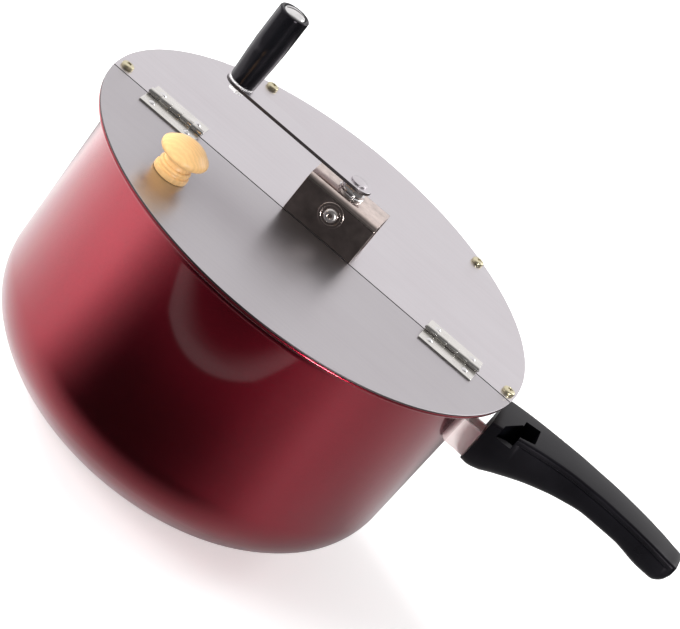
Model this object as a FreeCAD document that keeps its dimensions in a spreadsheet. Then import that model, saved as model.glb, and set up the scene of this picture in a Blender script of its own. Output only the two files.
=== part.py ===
import FreeCAD, Part
import math
import os
import re
import Sketcher
from FreeCAD import Placement, Rotation, Vector

# Stovetop popcorn popper: a lidded pot with a hinged door, a hand crank whose bevel gears
# turn a wire stirrer, and a long handle.  Millimetres, +Z up, origin at the centre of the
# pot's flat bottom, +X towards the long handle, -Y towards the door.

doc = FreeCAD.newDocument("popcorn_popper")

# ---------------------------------------------------------------- driving dimensions
SIZES = {
    # pot
    "pot_top": 147.0, "wall": 2.0, "base_radius": 51.0, "floor_arc": 69.5, "corner_arc": 40.0,
    "corner_radius": 114.0, "corner_height": 51.0, "mouth_radius": 116.0, "flare_start": 138.0,
    "flare_arc": 7.0, "flange_radius": 126.8, "bead": 1.0,
    # lid
    "lid_radius": 127.0, "lid_thick": 1.0, "split_y": -12.8, "split_gap": 0.25,
    # rim screws
    "screw_circle": 121.5, "screw_circle_right": 122.6, "screw_angle_side": -2.6,
    "screw_angle_back": 54.5,
    "screw_head": 3.4, "screw_head_height": 2.3, "screw_shank": 1.5, "screw_length": 8.2,
    "nut_flats": 5.5, "nut_thick": 2.4, "nut_top": 143.5,
    # door hinges
    "hinge_near": 71.5, "hinge_length": 33.0, "hinge_axis_up": 1.9, "barrel_radius": 1.8,
    "pin_radius": 0.9, "pin_fit": 0.05, "leaf_thick": 0.9, "leaf_width": 13.0,
    "knuckle_gap": 0.15, "leaf_notch": 2.1,
    "rivet_head": 2.0, "rivet_height": 0.9, "rivet_shank": 1.1, "rivet_pitch": 22.0,
    "rivet_in": 8.2, "tail_radius": 1.8, "tail_height": 0.6,
    # gear housing
    "box_left": -18.7, "box_right": 23.3, "box_front": -12.4, "box_back": 13.0,
    "box_height": 24.0, "sheet_thick": 1.0, "bend": 3.0, "foot_length": 8.0, "foot_width": 7.0,
    "ring_radius": 5.8, "ring_round": 0.7,
    # gear train
    "unit_x": 1.8, "axle_up": 13.0, "axle_radius": 2.0, "axle_head": 3.7, "axle_head_out": 1.8,
    "axle_eye": 1.3, "crank_teeth": 18, "idler_teeth": 12, "gear_module": 1.0, "face": 3.5,
    "addendum": 0.85, "dedendum": 1.15, "backlash": 0.22, "pressure": 22.0,
    "shaft_radius": 3.0, "running_fit": 0.05, "hub_radius": 5.5,
    # crank
    "bush_radius": 4.5, "bush_flange": 7.2, "arm_reach": 74.8, "arm_half": 7.8,
    "arm_low": 29.0, "arm_thick": 1.8, "dome_height": 1.8, "dome_radius": 4.6,
    "grip_low": 31.7, "grip_high": 75.6, "grip_base": 7.15, "grip_wide": 8.35, "grip_end": 8.3,
    "grip_well": 6.45, "grip_well_depth": 1.8, "grip_bolt": 2.5, "grip_bore": 0.1,
    "grip_head": 6.0, "grip_dome": 1.9, "washer_radius": 7.0, "washer_thick": 0.6,
    "grip_nut_flats": 8.0, "grip_nut_thick": 3.2,
    # knob
    "knob_x": -65.5, "knob_y": -69.0, "knob_height": 19.5, "knob_cap": 12.7, "knob_screw": 1.6,
    # stirrer
    "stirrer_low": 5.0, "wire_radius": 1.8, "sweep_low": 7.6, "sweep_reach": 92.0,
    "sweep_rise": 30.0, "paddle_low": 17.0, "paddle_reach": 62.0, "paddle_rise": 29.0,
    # handle and its bracket
    "strap_half": 5.85, "strap_thick": 1.5, "strap_low": 106.4, "strap_high": 122.6,
    "strap_web": 137.5, "ear_gap": 1.2, "ear_face": 117.2, "bolt_up": 119.8,
    "bolt_radius": 1.75, "bolt_head": 3.6, "handle_start": 126.0, "well_start": 139.5,
    "well_end": 148.0, "well_front": -8.0, "well_back": 5.0, "well_floor": 116.0,
    "pocket_floor": 124.0, "shelf_floor": 131.0, "handle_nut_flats": 5.2,
    "top_edge": 1.6,
}
# Long handle: distance from the pot's axis, half width, top and underside at each station.
HANDLE = {
    "neck": (126.0, 18.2, 136.0, 105.4, 15.5), "shoulder": (134.0, 17.6, 137.1, 105.7, 15.3),
    "well": (143.0, 16.5, 138.2, 110.0, 14.0), "waist": (159.0, 14.1, 139.8, 117.1, 11.4),
    "taper": (176.0, 12.5, 140.7, 122.6, 8.6), "slim": (190.0, 11.8, 140.7, 124.9, 7.7),
    "palm": (208.0, 11.2, 139.9, 124.6, 7.5), "swell": (226.0, 10.4, 138.3, 121.7, 7.7),
    "heel": (234.0, 9.9, 137.2, 121.4, 7.5), "toe": (238.4, 9.5, 136.7, 124.4, 6.4),
    "tip": (240.4, 8.5, 136.2, 128.8, 4.4),
}

sheet = doc.addObject("Spreadsheet::Sheet", "Sizes")
row = 0
for alias, value in SIZES.items():
    row += 1
    sheet.set("A%d" % row, alias)
    sheet.set("B%d" % row, repr(value))
    sheet.setAlias("B%d" % row, alias)
for station, figures in HANDLE.items():
    for part_name, value in zip(("at", "half", "top", "low", "round"), figures):
        row += 1
        sheet.set("A%d" % row, "%s_%s" % (station, part_name))
        sheet.set("B%d" % row, repr(value))
        sheet.setAlias("B%d" % row, "%s_%s" % (station, part_name))
doc.recompute()
ALIASES = set(SIZES)
for station in HANDLE:
    ALIASES.update(station + part for part in ("_at", "_half", "_top", "_low", "_round"))

nodes = []


def ex(text):
    """Write aliases of the sheet in full, so that a bare word such as wall reads Sizes.wall."""
    return re.sub(r"[A-Za-z_]+", lambda m: ("Sizes." if m.group() in ALIASES else "") + m.group(),
                  str(text))


def val(text):
    """Value of an expression over the sheet's cells."""
    return float(sheet.evalExpression(ex(text)))


# ---------------------------------------------------------------- building blocks
def new_body(name):
    body = doc.addObject("PartDesign::Body", name)
    body.Label = name
    body.Placement = Placement()
    nodes.append(body)
    return body


def on_plane(body, name, role, offset=("0", "0", "0")):
    """An empty sketch on one of the body's own origin planes, shifted by three expressions."""
    sketch = body.newObject("Sketcher::SketchObject", name)
    plane = [f for f in body.Origin.OriginFeatures if f.Role == role][0]
    sketch.AttachmentSupport = (plane, "")
    sketch.MapMode = "FlatFace"
    for axis, text in zip("xyz", offset):
        sketch.setExpression("AttachmentOffset.Base.%s" % axis, ex(text))
    return sketch


def outline(sketch, path):
    """Closed outline.  Each step is (x, y) for a straight edge to the next point, or
    (x, y, radius, side) for an arc to the next point, centre on the left if side is +1."""
    count = len(path)
    points = [Vector(val(step[0]), val(step[1]), 0) for step in path]
    for i, step in enumerate(path):
        a, b = points[i], points[(i + 1) % count]
        if len(step) == 2:
            sketch.addGeometry(Part.LineSegment(a, b))
            start = 1
        else:
            radius, side = val(step[2]), step[3]
            chord = b - a
            half = chord.Length / 2
            normal = Vector(-chord.y, chord.x, 0).normalize()
            rise = math.sqrt(max(radius ** 2 - half ** 2, 0.0))
            centre = (a + b) / 2 + normal * rise * side
            first, last = (a, b) if side > 0 else (b, a)
            a0 = math.atan2(first.y - centre.y, first.x - centre.x)
            a1 = math.atan2(last.y - centre.y, last.x - centre.x)
            circle = Part.Circle(centre, Vector(0, 0, 1), radius)
            sketch.addGeometry(Part.ArcOfCircle(circle, a0, a1))
            start = 1 if side > 0 else 2
            radial = sketch.addConstraint(Sketcher.Constraint("Radius", i, radius))
            sketch.setExpression("Constraints[%d]" % radial, ex(step[2]))
        path[i] = tuple(step) + (start,)
    for i in range(count):
        j = (i + 1) % count
        sketch.addConstraint(Sketcher.Constraint("Coincident", i, 3 - path[i][-1], j, path[j][-1]))
        for kind, text, number in (("DistanceX", path[i][0], points[i].x),
                                   ("DistanceY", path[i][1], points[i].y)):
            index = sketch.addConstraint(
                Sketcher.Constraint(kind, -1, 1, i, path[i][-1], number))
            sketch.setExpression("Constraints[%d]" % index, ex(text))
    return sketch


def circles(sketch, rounds):
    """Full circles, each (x, y, radius) as expressions."""
    for x, y, radius in rounds:
        index = sketch.addGeometry(
            Part.Circle(Vector(val(x), val(y), 0), Vector(0, 0, 1), val(radius)))
        for kind, text in (("DistanceX", x), ("DistanceY", y)):
            c = sketch.addConstraint(Sketcher.Constraint(kind, -1, 1, index, 3, val(text)))
            sketch.setExpression("Constraints[%d]" % c, ex(text))
        c = sketch.addConstraint(Sketcher.Constraint("Radius", index, val(radius)))
        sketch.setExpression("Constraints[%d]" % c, ex(radius))
    return sketch


def turned(body, name, profile, at=("0", "0", "0"), axis="Z", cut=False, angle=360):
    """Turn a profile of (radius, along) steps about an axis through the point at."""
    x, y, z = at
    if axis == "Z":
        sketch = on_plane(body, name + "_profile", "XZ_Plane", (x, z, "0 - ( %s )" % y))
    else:
        sketch = on_plane(body, name + "_profile", "XY_Plane", at)
    steps = [tuple(step) for step in profile]
    if axis == "X":
        steps = [(s[1], s[0]) + ((s[2], -s[3]) if len(s) > 2 else ()) for s in steps]
    outline(sketch, steps)
    kind = "PartDesign::Groove" if cut else "PartDesign::Revolution"
    feature = body.newObject(kind, name)
    feature.Profile = sketch
    feature.ReferenceAxis = (sketch, ["H_Axis" if axis == "X" else "V_Axis"])
    feature.Angle = angle
    return feature


def dome(radius, rise):
    """Radius of the sphere whose cap has this rim radius and this rise."""
    return "( ( %s ) ^ 2 + ( %s ) ^ 2 ) / ( 2 * ( %s ) )" % (radius, rise, rise)


def pad(body, name, sketch, length, both=False):
    feature = body.newObject("PartDesign::Pad", name)
    feature.Profile = sketch
    feature.setExpression("Length", ex(length))
    if both:
        feature.SideType = "Symmetric"
    return feature


def cut(body, name, sketch, length, up=False, both=False):
    """Pocket below the sketch, or above it when up is set; it must take material away."""
    doc.recompute()
    before = body.Tip.Shape.Volume
    feature = body.newObject("PartDesign::Pocket", name)
    feature.Profile = sketch
    feature.Type = "Length"
    feature.setExpression("Length", ex(length))
    feature.Reversed = up
    if both:
        feature.SideType = "Symmetric"
    doc.recompute()
    if not feature.Shape.Volume < before - 1e-6:
        raise RuntimeError(name + " cuts nothing")
    return feature


def rectangle(left, right, low, high):
    return [(left, low), (right, low), (right, high), (left, high)]


def hexagon(flats, x="0", y="0", turn=0):
    """Six corners round (x, y), the first flat facing the direction turn degrees."""
    steps = []
    for i in range(6):
        angle = turn + 30 + 60 * i
        reach = "( %s ) / 2 / cos(30 deg )" % flats
        steps.append(("%s + %s * cos(%r deg )" % (x, reach, angle),
                      "%s + %s * sin(%r deg )" % (y, reach, angle)))
    return steps


def cylinder(name, radius, height, at, turn=Rotation()):
    """A Part::Cylinder bound to the sheet, its foot at a point, its axis turned from +Z."""
    feature = doc.addObject("Part::Cylinder", name)
    feature.setExpression("Radius", ex(radius))
    feature.setExpression("Height", ex(height))
    feature.Placement = Placement(Vector(), turn)
    for axis, text in zip("xyz", at):
        feature.setExpression("Placement.Base.%s" % axis, ex(text))
    return feature


def solid(name, shape):
    """A sub-part whose shape is worked out from the sheet by the code below."""
    feature = doc.addObject("Part::Feature", name)
    feature.Label = name
    feature.Shape = shape
    feature.Placement = Placement()
    nodes.append(feature)
    return feature


# ---------------------------------------------------------------- pot and lid
RIM_SCREWS = [
    ("screw_circle_right * cos(screw_angle_side * 1 deg )",
     "screw_circle_right * sin(screw_angle_side * 1 deg )", -2.6),
    ("0 - screw_circle * cos(screw_angle_side * 1 deg )",
     "screw_circle * sin(screw_angle_side * 1 deg )", 182.6),
    ("screw_circle * cos(screw_angle_back * 1 deg )",
     "screw_circle * sin(screw_angle_back * 1 deg )", 54.5),
    ("0 - screw_circle * cos(screw_angle_back * 1 deg )",
     "screw_circle * sin(screw_angle_back * 1 deg )", 125.5),
]


def make_pot():
    """Drawn pot: flat floor, wide corner of two arcs, slightly flared wall, rolled flange."""
    body = new_body("pot_body")
    # the two corner arcs meet on the line through their centres
    gap = "sqrt(( corner_radius - corner_arc - base_radius ) ^ 2 + ( floor_arc - corner_height ) ^ 2 )"
    meet_r = "( base_radius + ( %s ) * ( corner_radius - corner_arc - base_radius ) / ( %s ) )"
    meet_z = "( floor_arc - ( %s ) * ( floor_arc - corner_height ) / ( %s ) )"
    steps = [
        ("0", "0"), ("base_radius", "0", "floor_arc", 1),
        (meet_r % ("floor_arc", gap), meet_z % ("floor_arc", gap), "corner_arc", 1),
        ("corner_radius", "corner_height"),
        ("mouth_radius", "flare_start", "flare_arc", -1),
        ("mouth_radius + flare_arc", "flare_start + flare_arc"),
        ("flange_radius - bead", "pot_top - 2 * bead", "bead", 1),
        ("flange_radius", "pot_top - bead", "bead", 1),
        ("flange_radius - bead", "pot_top"),
        ("mouth_radius + flare_arc", "pot_top", "flare_arc + wall", 1),
        ("mouth_radius - wall", "flare_start"),
        ("corner_radius - wall", "corner_height", "corner_arc - wall", -1),
        (meet_r % ("( floor_arc - wall )", gap), meet_z % ("( floor_arc - wall )", gap),
         "floor_arc - wall", -1),
        ("base_radius", "wall"), ("0", "wall"),
    ]
    turned(body, "pot_shell", steps)
    holes = circles(on_plane(body, "rim_hole_circles", "XY_Plane", ("0", "0", "pot_top + 1")),
                    [(x, y, "screw_shank") for x, y, _ in RIM_SCREWS])
    cut(body, "rim_holes", holes, "8")


def lid_half(name, side):
    """Flat sheet lid, cut along the split line: side +1 is the fixed half, -1 the door."""
    body = new_body(name)
    edge = "( split_y + ( %d ) * split_gap )" % side
    reach = "sqrt(lid_radius ^ 2 - %s ^ 2 )" % edge
    sketch = on_plane(body, name + "_outline", "XY_Plane", ("0", "0", "pot_top"))
    y = edge
    if side > 0:
        left, right, top = "0 - " + reach, reach, "lid_radius"
        steps = [(right, y, "lid_radius", 1), ("0", top, "lid_radius", 1), (left, y)]
    else:
        steps = [("0 - " + reach, y, "lid_radius", 1), ("0", "0 - lid_radius", "lid_radius", 1),
                 (reach, y)]
    outline_big(sketch, steps)
    pad(body, name + "_sheet", sketch, "lid_thick")
    return body


def outline_big(sketch, steps):
    """The lid's halves: arcs about the lid's own centre, closed by the straight split edge."""
    radius = val("lid_radius")
    points = [Vector(val(s[0]), val(s[1]), 0) for s in steps]
    for a, b in ((points[0], points[1]), (points[1], points[2])):
        a0, a1 = math.atan2(a.y, a.x), math.atan2(b.y, b.x)
        sketch.addGeometry(Part.ArcOfCircle(Part.Circle(Vector(), Vector(0, 0, 1), radius), a0, a1))
    sketch.addGeometry(Part.LineSegment(points[2], points[0]))
    sketch.addConstraint(Sketcher.Constraint("Coincident", 0, 2, 1, 1))
    sketch.addConstraint(Sketcher.Constraint("Coincident", 1, 2, 2, 1))
    sketch.addConstraint(Sketcher.Constraint("Coincident", 2, 2, 0, 1))
    sketch.addConstraint(Sketcher.Constraint("Coincident", 0, 3, -1, 1))
    sketch.addConstraint(Sketcher.Constraint("Coincident", 1, 3, -1, 1))
    sketch.addConstraint(Sketcher.Constraint("PointOnObject", 0, 2, -2))
    sketch.addConstraint(Sketcher.Constraint("Horizontal", 2))
    c = sketch.addConstraint(Sketcher.Constraint("Radius", 0, radius))
    sketch.setExpression("Constraints[%d]" % c, ex("lid_radius"))
    c = sketch.addConstraint(Sketcher.Constraint("DistanceY", -1, 1, 2, 1, points[0].y))
    sketch.setExpression("Constraints[%d]" % c, ex(steps[0][1]))


def leaf_rivet_spots(side):
    """Where the rivets of both hinges' leaves go, side +1 on the fixed half, -1 on the door."""
    y = "split_y + ( %d ) * rivet_in" % side
    middle = "( hinge_near + hinge_length / 2 )"
    spots = []
    for mirror in (-1, 1):
        for step in (-1, 1):
            spots.append(("( %d ) * %s + ( %d ) * rivet_pitch / 2" % (mirror, middle, step), y))
    return spots


FOOT_SPOTS = [(x, y) for x in ("box_left + foot_length / 2 + 1", "box_right - foot_length / 2 - 1")
              for y in ("box_front + foot_width / 2 + 1", "box_back - foot_width / 2 - 1")]


def make_lid():
    fixed = lid_half("lid_fixed_half", 1)
    spots = [(x, y, "screw_shank") for x, y, _ in RIM_SCREWS]
    spots += [(x, y, "rivet_shank") for x, y in leaf_rivet_spots(1)]
    spots += [(x, y, "rivet_shank") for x, y in FOOT_SPOTS]
    spots += [("unit_x", "0", "bush_radius")]
    cut(fixed, "fixed_half_holes",
        circles(on_plane(fixed, "fixed_half_hole_circles", "XY_Plane", ("0", "0", "pot_top + 2")),
                spots), "4")
    door = lid_half("lid_door", -1)
    spots = [(x, y, "rivet_shank") for x, y in leaf_rivet_spots(-1)]
    spots += [("knob_x", "knob_y", "knob_screw")]
    cut(door, "door_holes",
        circles(on_plane(door, "door_hole_circles", "XY_Plane", ("0", "0", "pot_top + 2")),
                spots), "4")


LID = "( pot_top + lid_thick )"


def make_rim_screws():
    """Pan heads with a cross recess above the lid, plain hex nuts below the flange."""
    body = new_body("rim_screws")
    for i, (x, y, turn) in enumerate(RIM_SCREWS):
        turned(body, "rim_screw_%d" % (i + 1), [
            ("0", "0 - screw_length"), ("screw_shank", "0 - screw_length"), ("screw_shank", "0"),
            ("screw_head", "0"), ("screw_head", "0.9", "2.6", 1),
            ("screw_head - 1.3", "screw_head_height - 0.15", dome("screw_head - 1.3", "0.15"), 1),
            ("0", "screw_head_height")], (x, y, LID))
    for i, (x, y, turn) in enumerate(RIM_SCREWS):
        sketch = on_plane(body, "recess_%d" % (i + 1), "XY_Plane",
                          (x, y, LID + " + screw_head_height + 1"))
        sketch.AttachmentOffset = Placement(sketch.AttachmentOffset.Base,
                                            Rotation(Vector(0, 0, 1), 17 + 31 * i))
        outline(sketch, [("-0.45", "-0.45"), ("-0.45", "-2"), ("0.45", "-2"), ("0.45", "-0.45"),
                         ("2", "-0.45"), ("2", "0.45"), ("0.45", "0.45"), ("0.45", "2"),
                         ("-0.45", "2"), ("-0.45", "0.45"), ("-2", "0.45"), ("-2", "-0.45")])
        cut(body, "recess_cut_%d" % (i + 1), sketch, "2.3")
    nuts = new_body("rim_nuts")
    for i, (x, y, turn) in enumerate(RIM_SCREWS):
        sketch = on_plane(nuts, "nut_outline_%d" % (i + 1), "XY_Plane", (x, y, "nut_top - nut_thick"))
        outline(sketch, hexagon("nut_flats", turn=turn))
        pad(nuts, "nut_%d" % (i + 1), sketch, "nut_thick")
    cut(nuts, "nut_bores",
        circles(on_plane(nuts, "nut_bore_circles", "XY_Plane", ("0", "0", "nut_top + 1")),
                [(x, y, "screw_shank") for x, y, _ in RIM_SCREWS]), "nut_thick + 2")


# ---------------------------------------------------------------- door hinges
def make_hinge(label, mirror):
    """Butt hinge: five knuckles on one pin, three on the fixed leaf and two on the door's."""
    near, far = "hinge_near", "hinge_near + hinge_length"
    left = near if mirror > 0 else "0 - ( %s )" % far
    pitch = "hinge_length / 5"
    up = LID + " + hinge_axis_up"
    for kind, side, mine in (("fixed", 1, (0, 2, 4)), ("door", -1, (1, 3))):
        body = new_body("%s_hinge_%s_leaf" % (label, kind))
        bore = "pin_radius" if kind == "fixed" else "pin_radius + pin_fit"
        sketch = on_plane(body, body.Name + "_plate", "XY_Plane", (left, "split_y", LID))
        far_y = "( %d ) * leaf_width" % side
        steps = [("0", far_y), ("hinge_length", far_y), ("hinge_length", "0"), ("0", "0")]
        if side > 0:
            steps.reverse()
        outline(sketch, steps)
        pad(body, body.Name + "_sheet", sketch, "leaf_thick")
        for i in range(5):
            if i in mine:
                continue
            start = "%s * %d - knuckle_gap" % (pitch, i)
            end = "%s * %d + knuckle_gap" % (pitch, i + 1)
            notch = on_plane(body, "%s_notch_%d" % (body.Name, i), "XY_Plane",
                             (left, "split_y", LID + " + 2"))
            ys = ("-0.5", "leaf_notch") if side > 0 else ("0 - leaf_notch", "0.5")
            outline(notch, rectangle(start, end, ys[0], ys[1]))
            cut(body, "%s_notch_cut_%d" % (body.Name, i), notch, "4")
        for i in mine:
            start = "%s * %d%s" % (pitch, i, "" if i == 0 else " + knuckle_gap / 2")
            end = "%s * %d%s" % (pitch, i + 1, "" if i == 4 else " - knuckle_gap / 2")
            turned(body, "%s_knuckle_%d" % (body.Name, i), [
                (bore, start), ("barrel_radius", start), ("barrel_radius", end), (bore, end)],
                (left, "split_y", up), axis="X")
        rivets = [(x, y, "rivet_shank") for x, y in leaf_rivet_spots(side)]
        rivets = rivets[2:] if mirror > 0 else rivets[:2]
        cut(body, body.Name + "_holes",
            circles(on_plane(body, body.Name + "_hole_circles", "XY_Plane",
                             ("0", "0", LID + " + 2")), rivets), "4")
    pin = new_body("%s_hinge_pin" % label)
    turned(pin, "%s_pin_bar" % label, [
        ("0", "-0.5"), ("pin_radius", "-0.5"), ("pin_radius", "hinge_length + 0.5"),
        ("0", "hinge_length + 0.5")], (left, "split_y", up), axis="X")


def make_rivets(name, spots, base, height="rivet_height", head="rivet_head"):
    """Domed rivets through the lid, set over below it."""
    body = new_body(name)
    for i, (x, y) in enumerate(spots):
        turned(body, "%s_%d" % (name, i + 1), [
            ("0", "0 - ( %s ) - lid_thick - tail_height" % base),
            ("tail_radius - 0.5", "0 - ( %s ) - lid_thick - tail_height" % base),
            ("tail_radius", "0 - ( %s ) - lid_thick" % base),
            ("rivet_shank", "0 - ( %s ) - lid_thick" % base), ("rivet_shank", "0"),
            (head, "0", dome(head, height), 1), ("0", height)],
            (x, y, LID + " + %s" % base))
    return body


# ---------------------------------------------------------------- door knob
def make_knob():
    """Turned wooden knob: foot, bead, thin neck and a mushroom cap, screwed from beneath."""
    body = new_body("door_knob")
    spot = ("knob_x", "knob_y", LID)
    turned(body, "knob_turning", [
        ("0", "0"), ("8.6", "0"), ("9.1", "0.5"), ("9.1", "2.6", "0.7", 1), ("8.5", "3.2"),
        ("7.9", "3.6"), ("8.4", "4.1", "1.4", 1), ("8.1", "6.1"), ("7.0", "6.9", "4.5", -1),
        ("7.6", "9.2"), ("knob_cap - 1.6", "9.9", "2.3", 1), ("knob_cap", "12.4", "5.2", 1),
        ("knob_cap - 3.2", "16.9", dome("knob_cap - 3.2", "knob_height - 16.9"), 1),
        ("0", "knob_height")], spot)
    pilot = on_plane(body, "knob_pilot_circle", "XY_Plane", ("0", "0", LID + " - 1"))
    circles(pilot, [("knob_x", "knob_y", "knob_screw")])
    cut(body, "knob_pilot", pilot, "15", up=True)
    screw = new_body("knob_screw")
    turned(screw, "knob_screw_turning", [
        ("0", "0 - lid_thick - 1.9"), ("2.2", "0 - lid_thick - 1.9"), ("3.4", "0 - lid_thick - 0.9"),
        ("3.4", "0 - lid_thick"), ("knob_screw", "0 - lid_thick"), ("knob_screw", "12.4"),
        ("0", "14.0")], spot)
    slot = on_plane(screw, "knob_screw_slot", "XY_Plane", ("knob_x", "knob_y", "pot_top - 3"))
    outline(slot, rectangle("-4", "4", "-0.5", "0.5"))
    cut(screw, "knob_screw_slot_cut", slot, "2.1", up=True)


# ---------------------------------------------------------------- gear housing
def make_housing():
    """Sheet folded to an inverted U over the gears, open at both ends, on four riveted feet."""
    body = new_body("gear_housing")
    sketch = on_plane(body, "housing_section", "YZ_Plane", ("0", LID, "box_left"))
    outline(sketch, [
        ("box_front", "0"), ("box_front + sheet_thick", "0"),
        ("box_front + sheet_thick", "box_height - bend", "bend - sheet_thick", -1),
        ("box_front + bend", "box_height - sheet_thick"),
        ("box_back - bend", "box_height - sheet_thick", "bend - sheet_thick", -1),
        ("box_back - sheet_thick", "box_height - bend"), ("box_back - sheet_thick", "0"),
        ("box_back", "0"), ("box_back", "box_height - bend", "bend", 1),
        ("box_back - bend", "box_height"), ("box_front + bend", "box_height", "bend", 1),
        ("box_front", "box_height - bend")])
    pad(body, "housing_fold", sketch, "box_right - box_left")
    for i, x in enumerate(("box_left + 1", "box_right - foot_length - 1")):
        for j, (y0, y1) in enumerate((("box_front + 0.5", "box_front + foot_width + 1"),
                                      ("box_back - foot_width - 1", "box_back - 0.5"))):
            foot = on_plane(body, "foot_outline_%d%d" % (i, j), "XY_Plane", ("0", "0", LID))
            outline(foot, rectangle(x, "%s + foot_length" % x, y0, y1))
            pad(body, "foot_%d%d" % (i, j), foot, "sheet_thick")
    turned(body, "front_ring", [
        ("ring_radius - ring_round * 1.2", "0.2"), ("ring_radius + ring_round * 1.2", "0.2"),
        ("ring_radius + ring_round * 1.2", "-0.05", "ring_round * 1.3", -1),
        ("ring_radius - ring_round * 1.2", "-0.05")],
        ("unit_x", "box_front", LID + " + axle_up"), axis="Y")
    circles_top = on_plane(body, "bush_hole", "XY_Plane", ("0", "0", LID + " + box_height + 1"))
    circles(circles_top, [("unit_x", "0", "bush_radius")])
    cut(body, "bush_hole_cut", circles_top, "4")
    rivet_holes = on_plane(body, "foot_holes", "XY_Plane", ("0", "0", LID + " + 2"))
    circles(rivet_holes, [(x, y, "rivet_shank") for x, y in FOOT_SPOTS])
    cut(body, "foot_hole_cuts", rivet_holes, "3")
    axle_hole = on_plane(body, "axle_hole", "XZ_Plane", ("0", "0", "0"))
    circles(axle_hole, [("unit_x", LID + " + axle_up", "axle_radius")])
    cut(body, "axle_hole_cut", axle_hole, "60", both=True)


def make_axle():
    """Fixed axle of the idler: a tubular rivet head in front, set over behind the back wall."""
    body = new_body("idler_axle")
    turned(body, "axle_turning", [
        ("axle_eye", "box_front - axle_head_out"), ("axle_eye + 0.7", "box_front - axle_head_out"),
        ("axle_head", "box_front - 0.6"), ("axle_head", "box_front"),
        ("axle_radius", "box_front"), ("axle_radius", "box_back"), ("3.2", "box_back"),
        ("3.0", "box_back + 1.0"), ("0", "box_back + 1.4"), ("0", "box_front + 2.2"),
        ("axle_eye", "box_front + 2.2")],
        ("unit_x", "0", LID + " + axle_up"), axis="Y")
    collar = new_body("idler_axle_collar")
    turned(collar, "axle_collar_turning", [
        ("axle_radius", "-6.15"), ("3.0", "-6.15"), ("3.0", "-4.8"), ("axle_radius", "-4.8")],
        ("unit_x", "0", LID + " + axle_up"), axis="Y")


def make_bushes():
    top = new_body("housing_bush")
    bore = "shaft_radius + running_fit"
    turned(top, "housing_bush_turning", [
        (bore, "box_height - sheet_thick - 0.4"), ("bush_radius", "box_height - sheet_thick - 0.4"),
        ("bush_radius", "box_height"), ("bush_flange", "box_height"),
        ("bush_flange", "box_height + 0.8"), ("bush_flange - 0.5", "box_height + 1.2"),
        (bore, "box_height + 1.2")], ("unit_x", "0", LID))
    low = new_body("lid_bush")
    turned(low, "lid_bush_turning", [
        (bore, "0 - lid_thick - 1.5"), ("bush_radius", "0 - lid_thick - 1.5"),
        ("bush_radius", "0"), ("bush_flange", "0"), ("bush_flange", "1.2"), (bore, "1.2")],
        ("unit_x", "0", LID))


# ---------------------------------------------------------------- bevel gears
def flank(theta, base):
    """Polar angle of a spherical involute above its base cone, both cone angles in radians."""
    if theta <= base:
        return 0.0
    rolled = math.acos(math.cos(theta) / math.cos(base)) / math.sin(base)
    return rolled - math.acos(math.tan(base) / math.tan(theta))


def bevel_gear(teeth, mate, hub_back, bore, phase):
    """Straight bevel gear, apex at the origin, its large end towards +Z."""
    module, addendum, dedendum = val("gear_module"), val("addendum"), val("dedendum")
    radius, other = module * teeth / 2.0, module * mate / 2.0
    pitch = math.atan2(radius, other)
    cone = math.hypot(radius, other)
    small = cone - val("face")
    tip, root = pitch + math.atan(addendum / cone), pitch - math.atan(dedendum / cone)
    base = math.asin(math.sin(pitch) * math.cos(math.radians(val("pressure"))))

    def corner(reach, angle):
        # point of the back cone, square to the pitch cone at the distance reach
        step = reach * math.tan(angle - pitch)
        return Vector(reach * math.sin(pitch) + step * math.cos(pitch), 0,
                      reach * math.cos(pitch) - step * math.sin(pitch))

    tip_big, root_big = corner(cone, tip), corner(cone, root)
    tip_small, root_small = corner(small, tip), corner(small, root)
    hub = val("hub_radius") if bore > 2.5 else 4.2
    wire = Part.makePolygon([
        Vector(bore, 0, root_small.z), root_small, tip_small, tip_big, root_big,
        Vector(hub, 0, root_big.z), Vector(hub, 0, hub_back), Vector(bore, 0, hub_back),
        Vector(bore, 0, root_small.z)])
    blank = Part.Face(wire).revolve(Vector(), Vector(0, 0, 1), 360)
    half = math.pi / (2 * teeth) - val("backlash") / (2 * radius)
    at_pitch = flank(pitch, base)

    def gap_wire(height):
        # one tooth space in the plane z = height
        over = tip + math.radians(4)
        angles = [root] + [base + (over - base) * (i / 6.0) for i in range(1, 7)]
        right = []
        for theta in angles:
            psi = half + at_pitch - flank(theta, base)
            rho = height * math.tan(theta)
            right.append(Vector(rho * math.cos(psi), rho * math.sin(psi), height))
        pitch_angle = 2 * math.pi / teeth
        left = [Vector(p.x * math.cos(pitch_angle) + p.y * math.sin(pitch_angle),
                       p.x * math.sin(pitch_angle) - p.y * math.cos(pitch_angle), height)
                for p in right]
        one, two = Part.BSplineCurve(), Part.BSplineCurve()
        one.interpolate(right)
        two.interpolate(list(reversed(left)))
        return Part.Wire([one.toShape(), Part.makeLine(right[-1], left[-1]), two.toShape(),
                          Part.makeLine(left[0], right[0])])

    low, high = tip_small.z * 0.6, root_big.z * 1.25
    gap = Part.makeLoft([gap_wire(low), gap_wire(high)], True, True)
    gaps = []
    for i in range(teeth):
        piece = gap.copy()
        piece.rotate(Vector(), Vector(0, 0, 1), phase + 360.0 * i / teeth)
        gaps.append(piece)
    return blank.cut(gaps)


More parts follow.
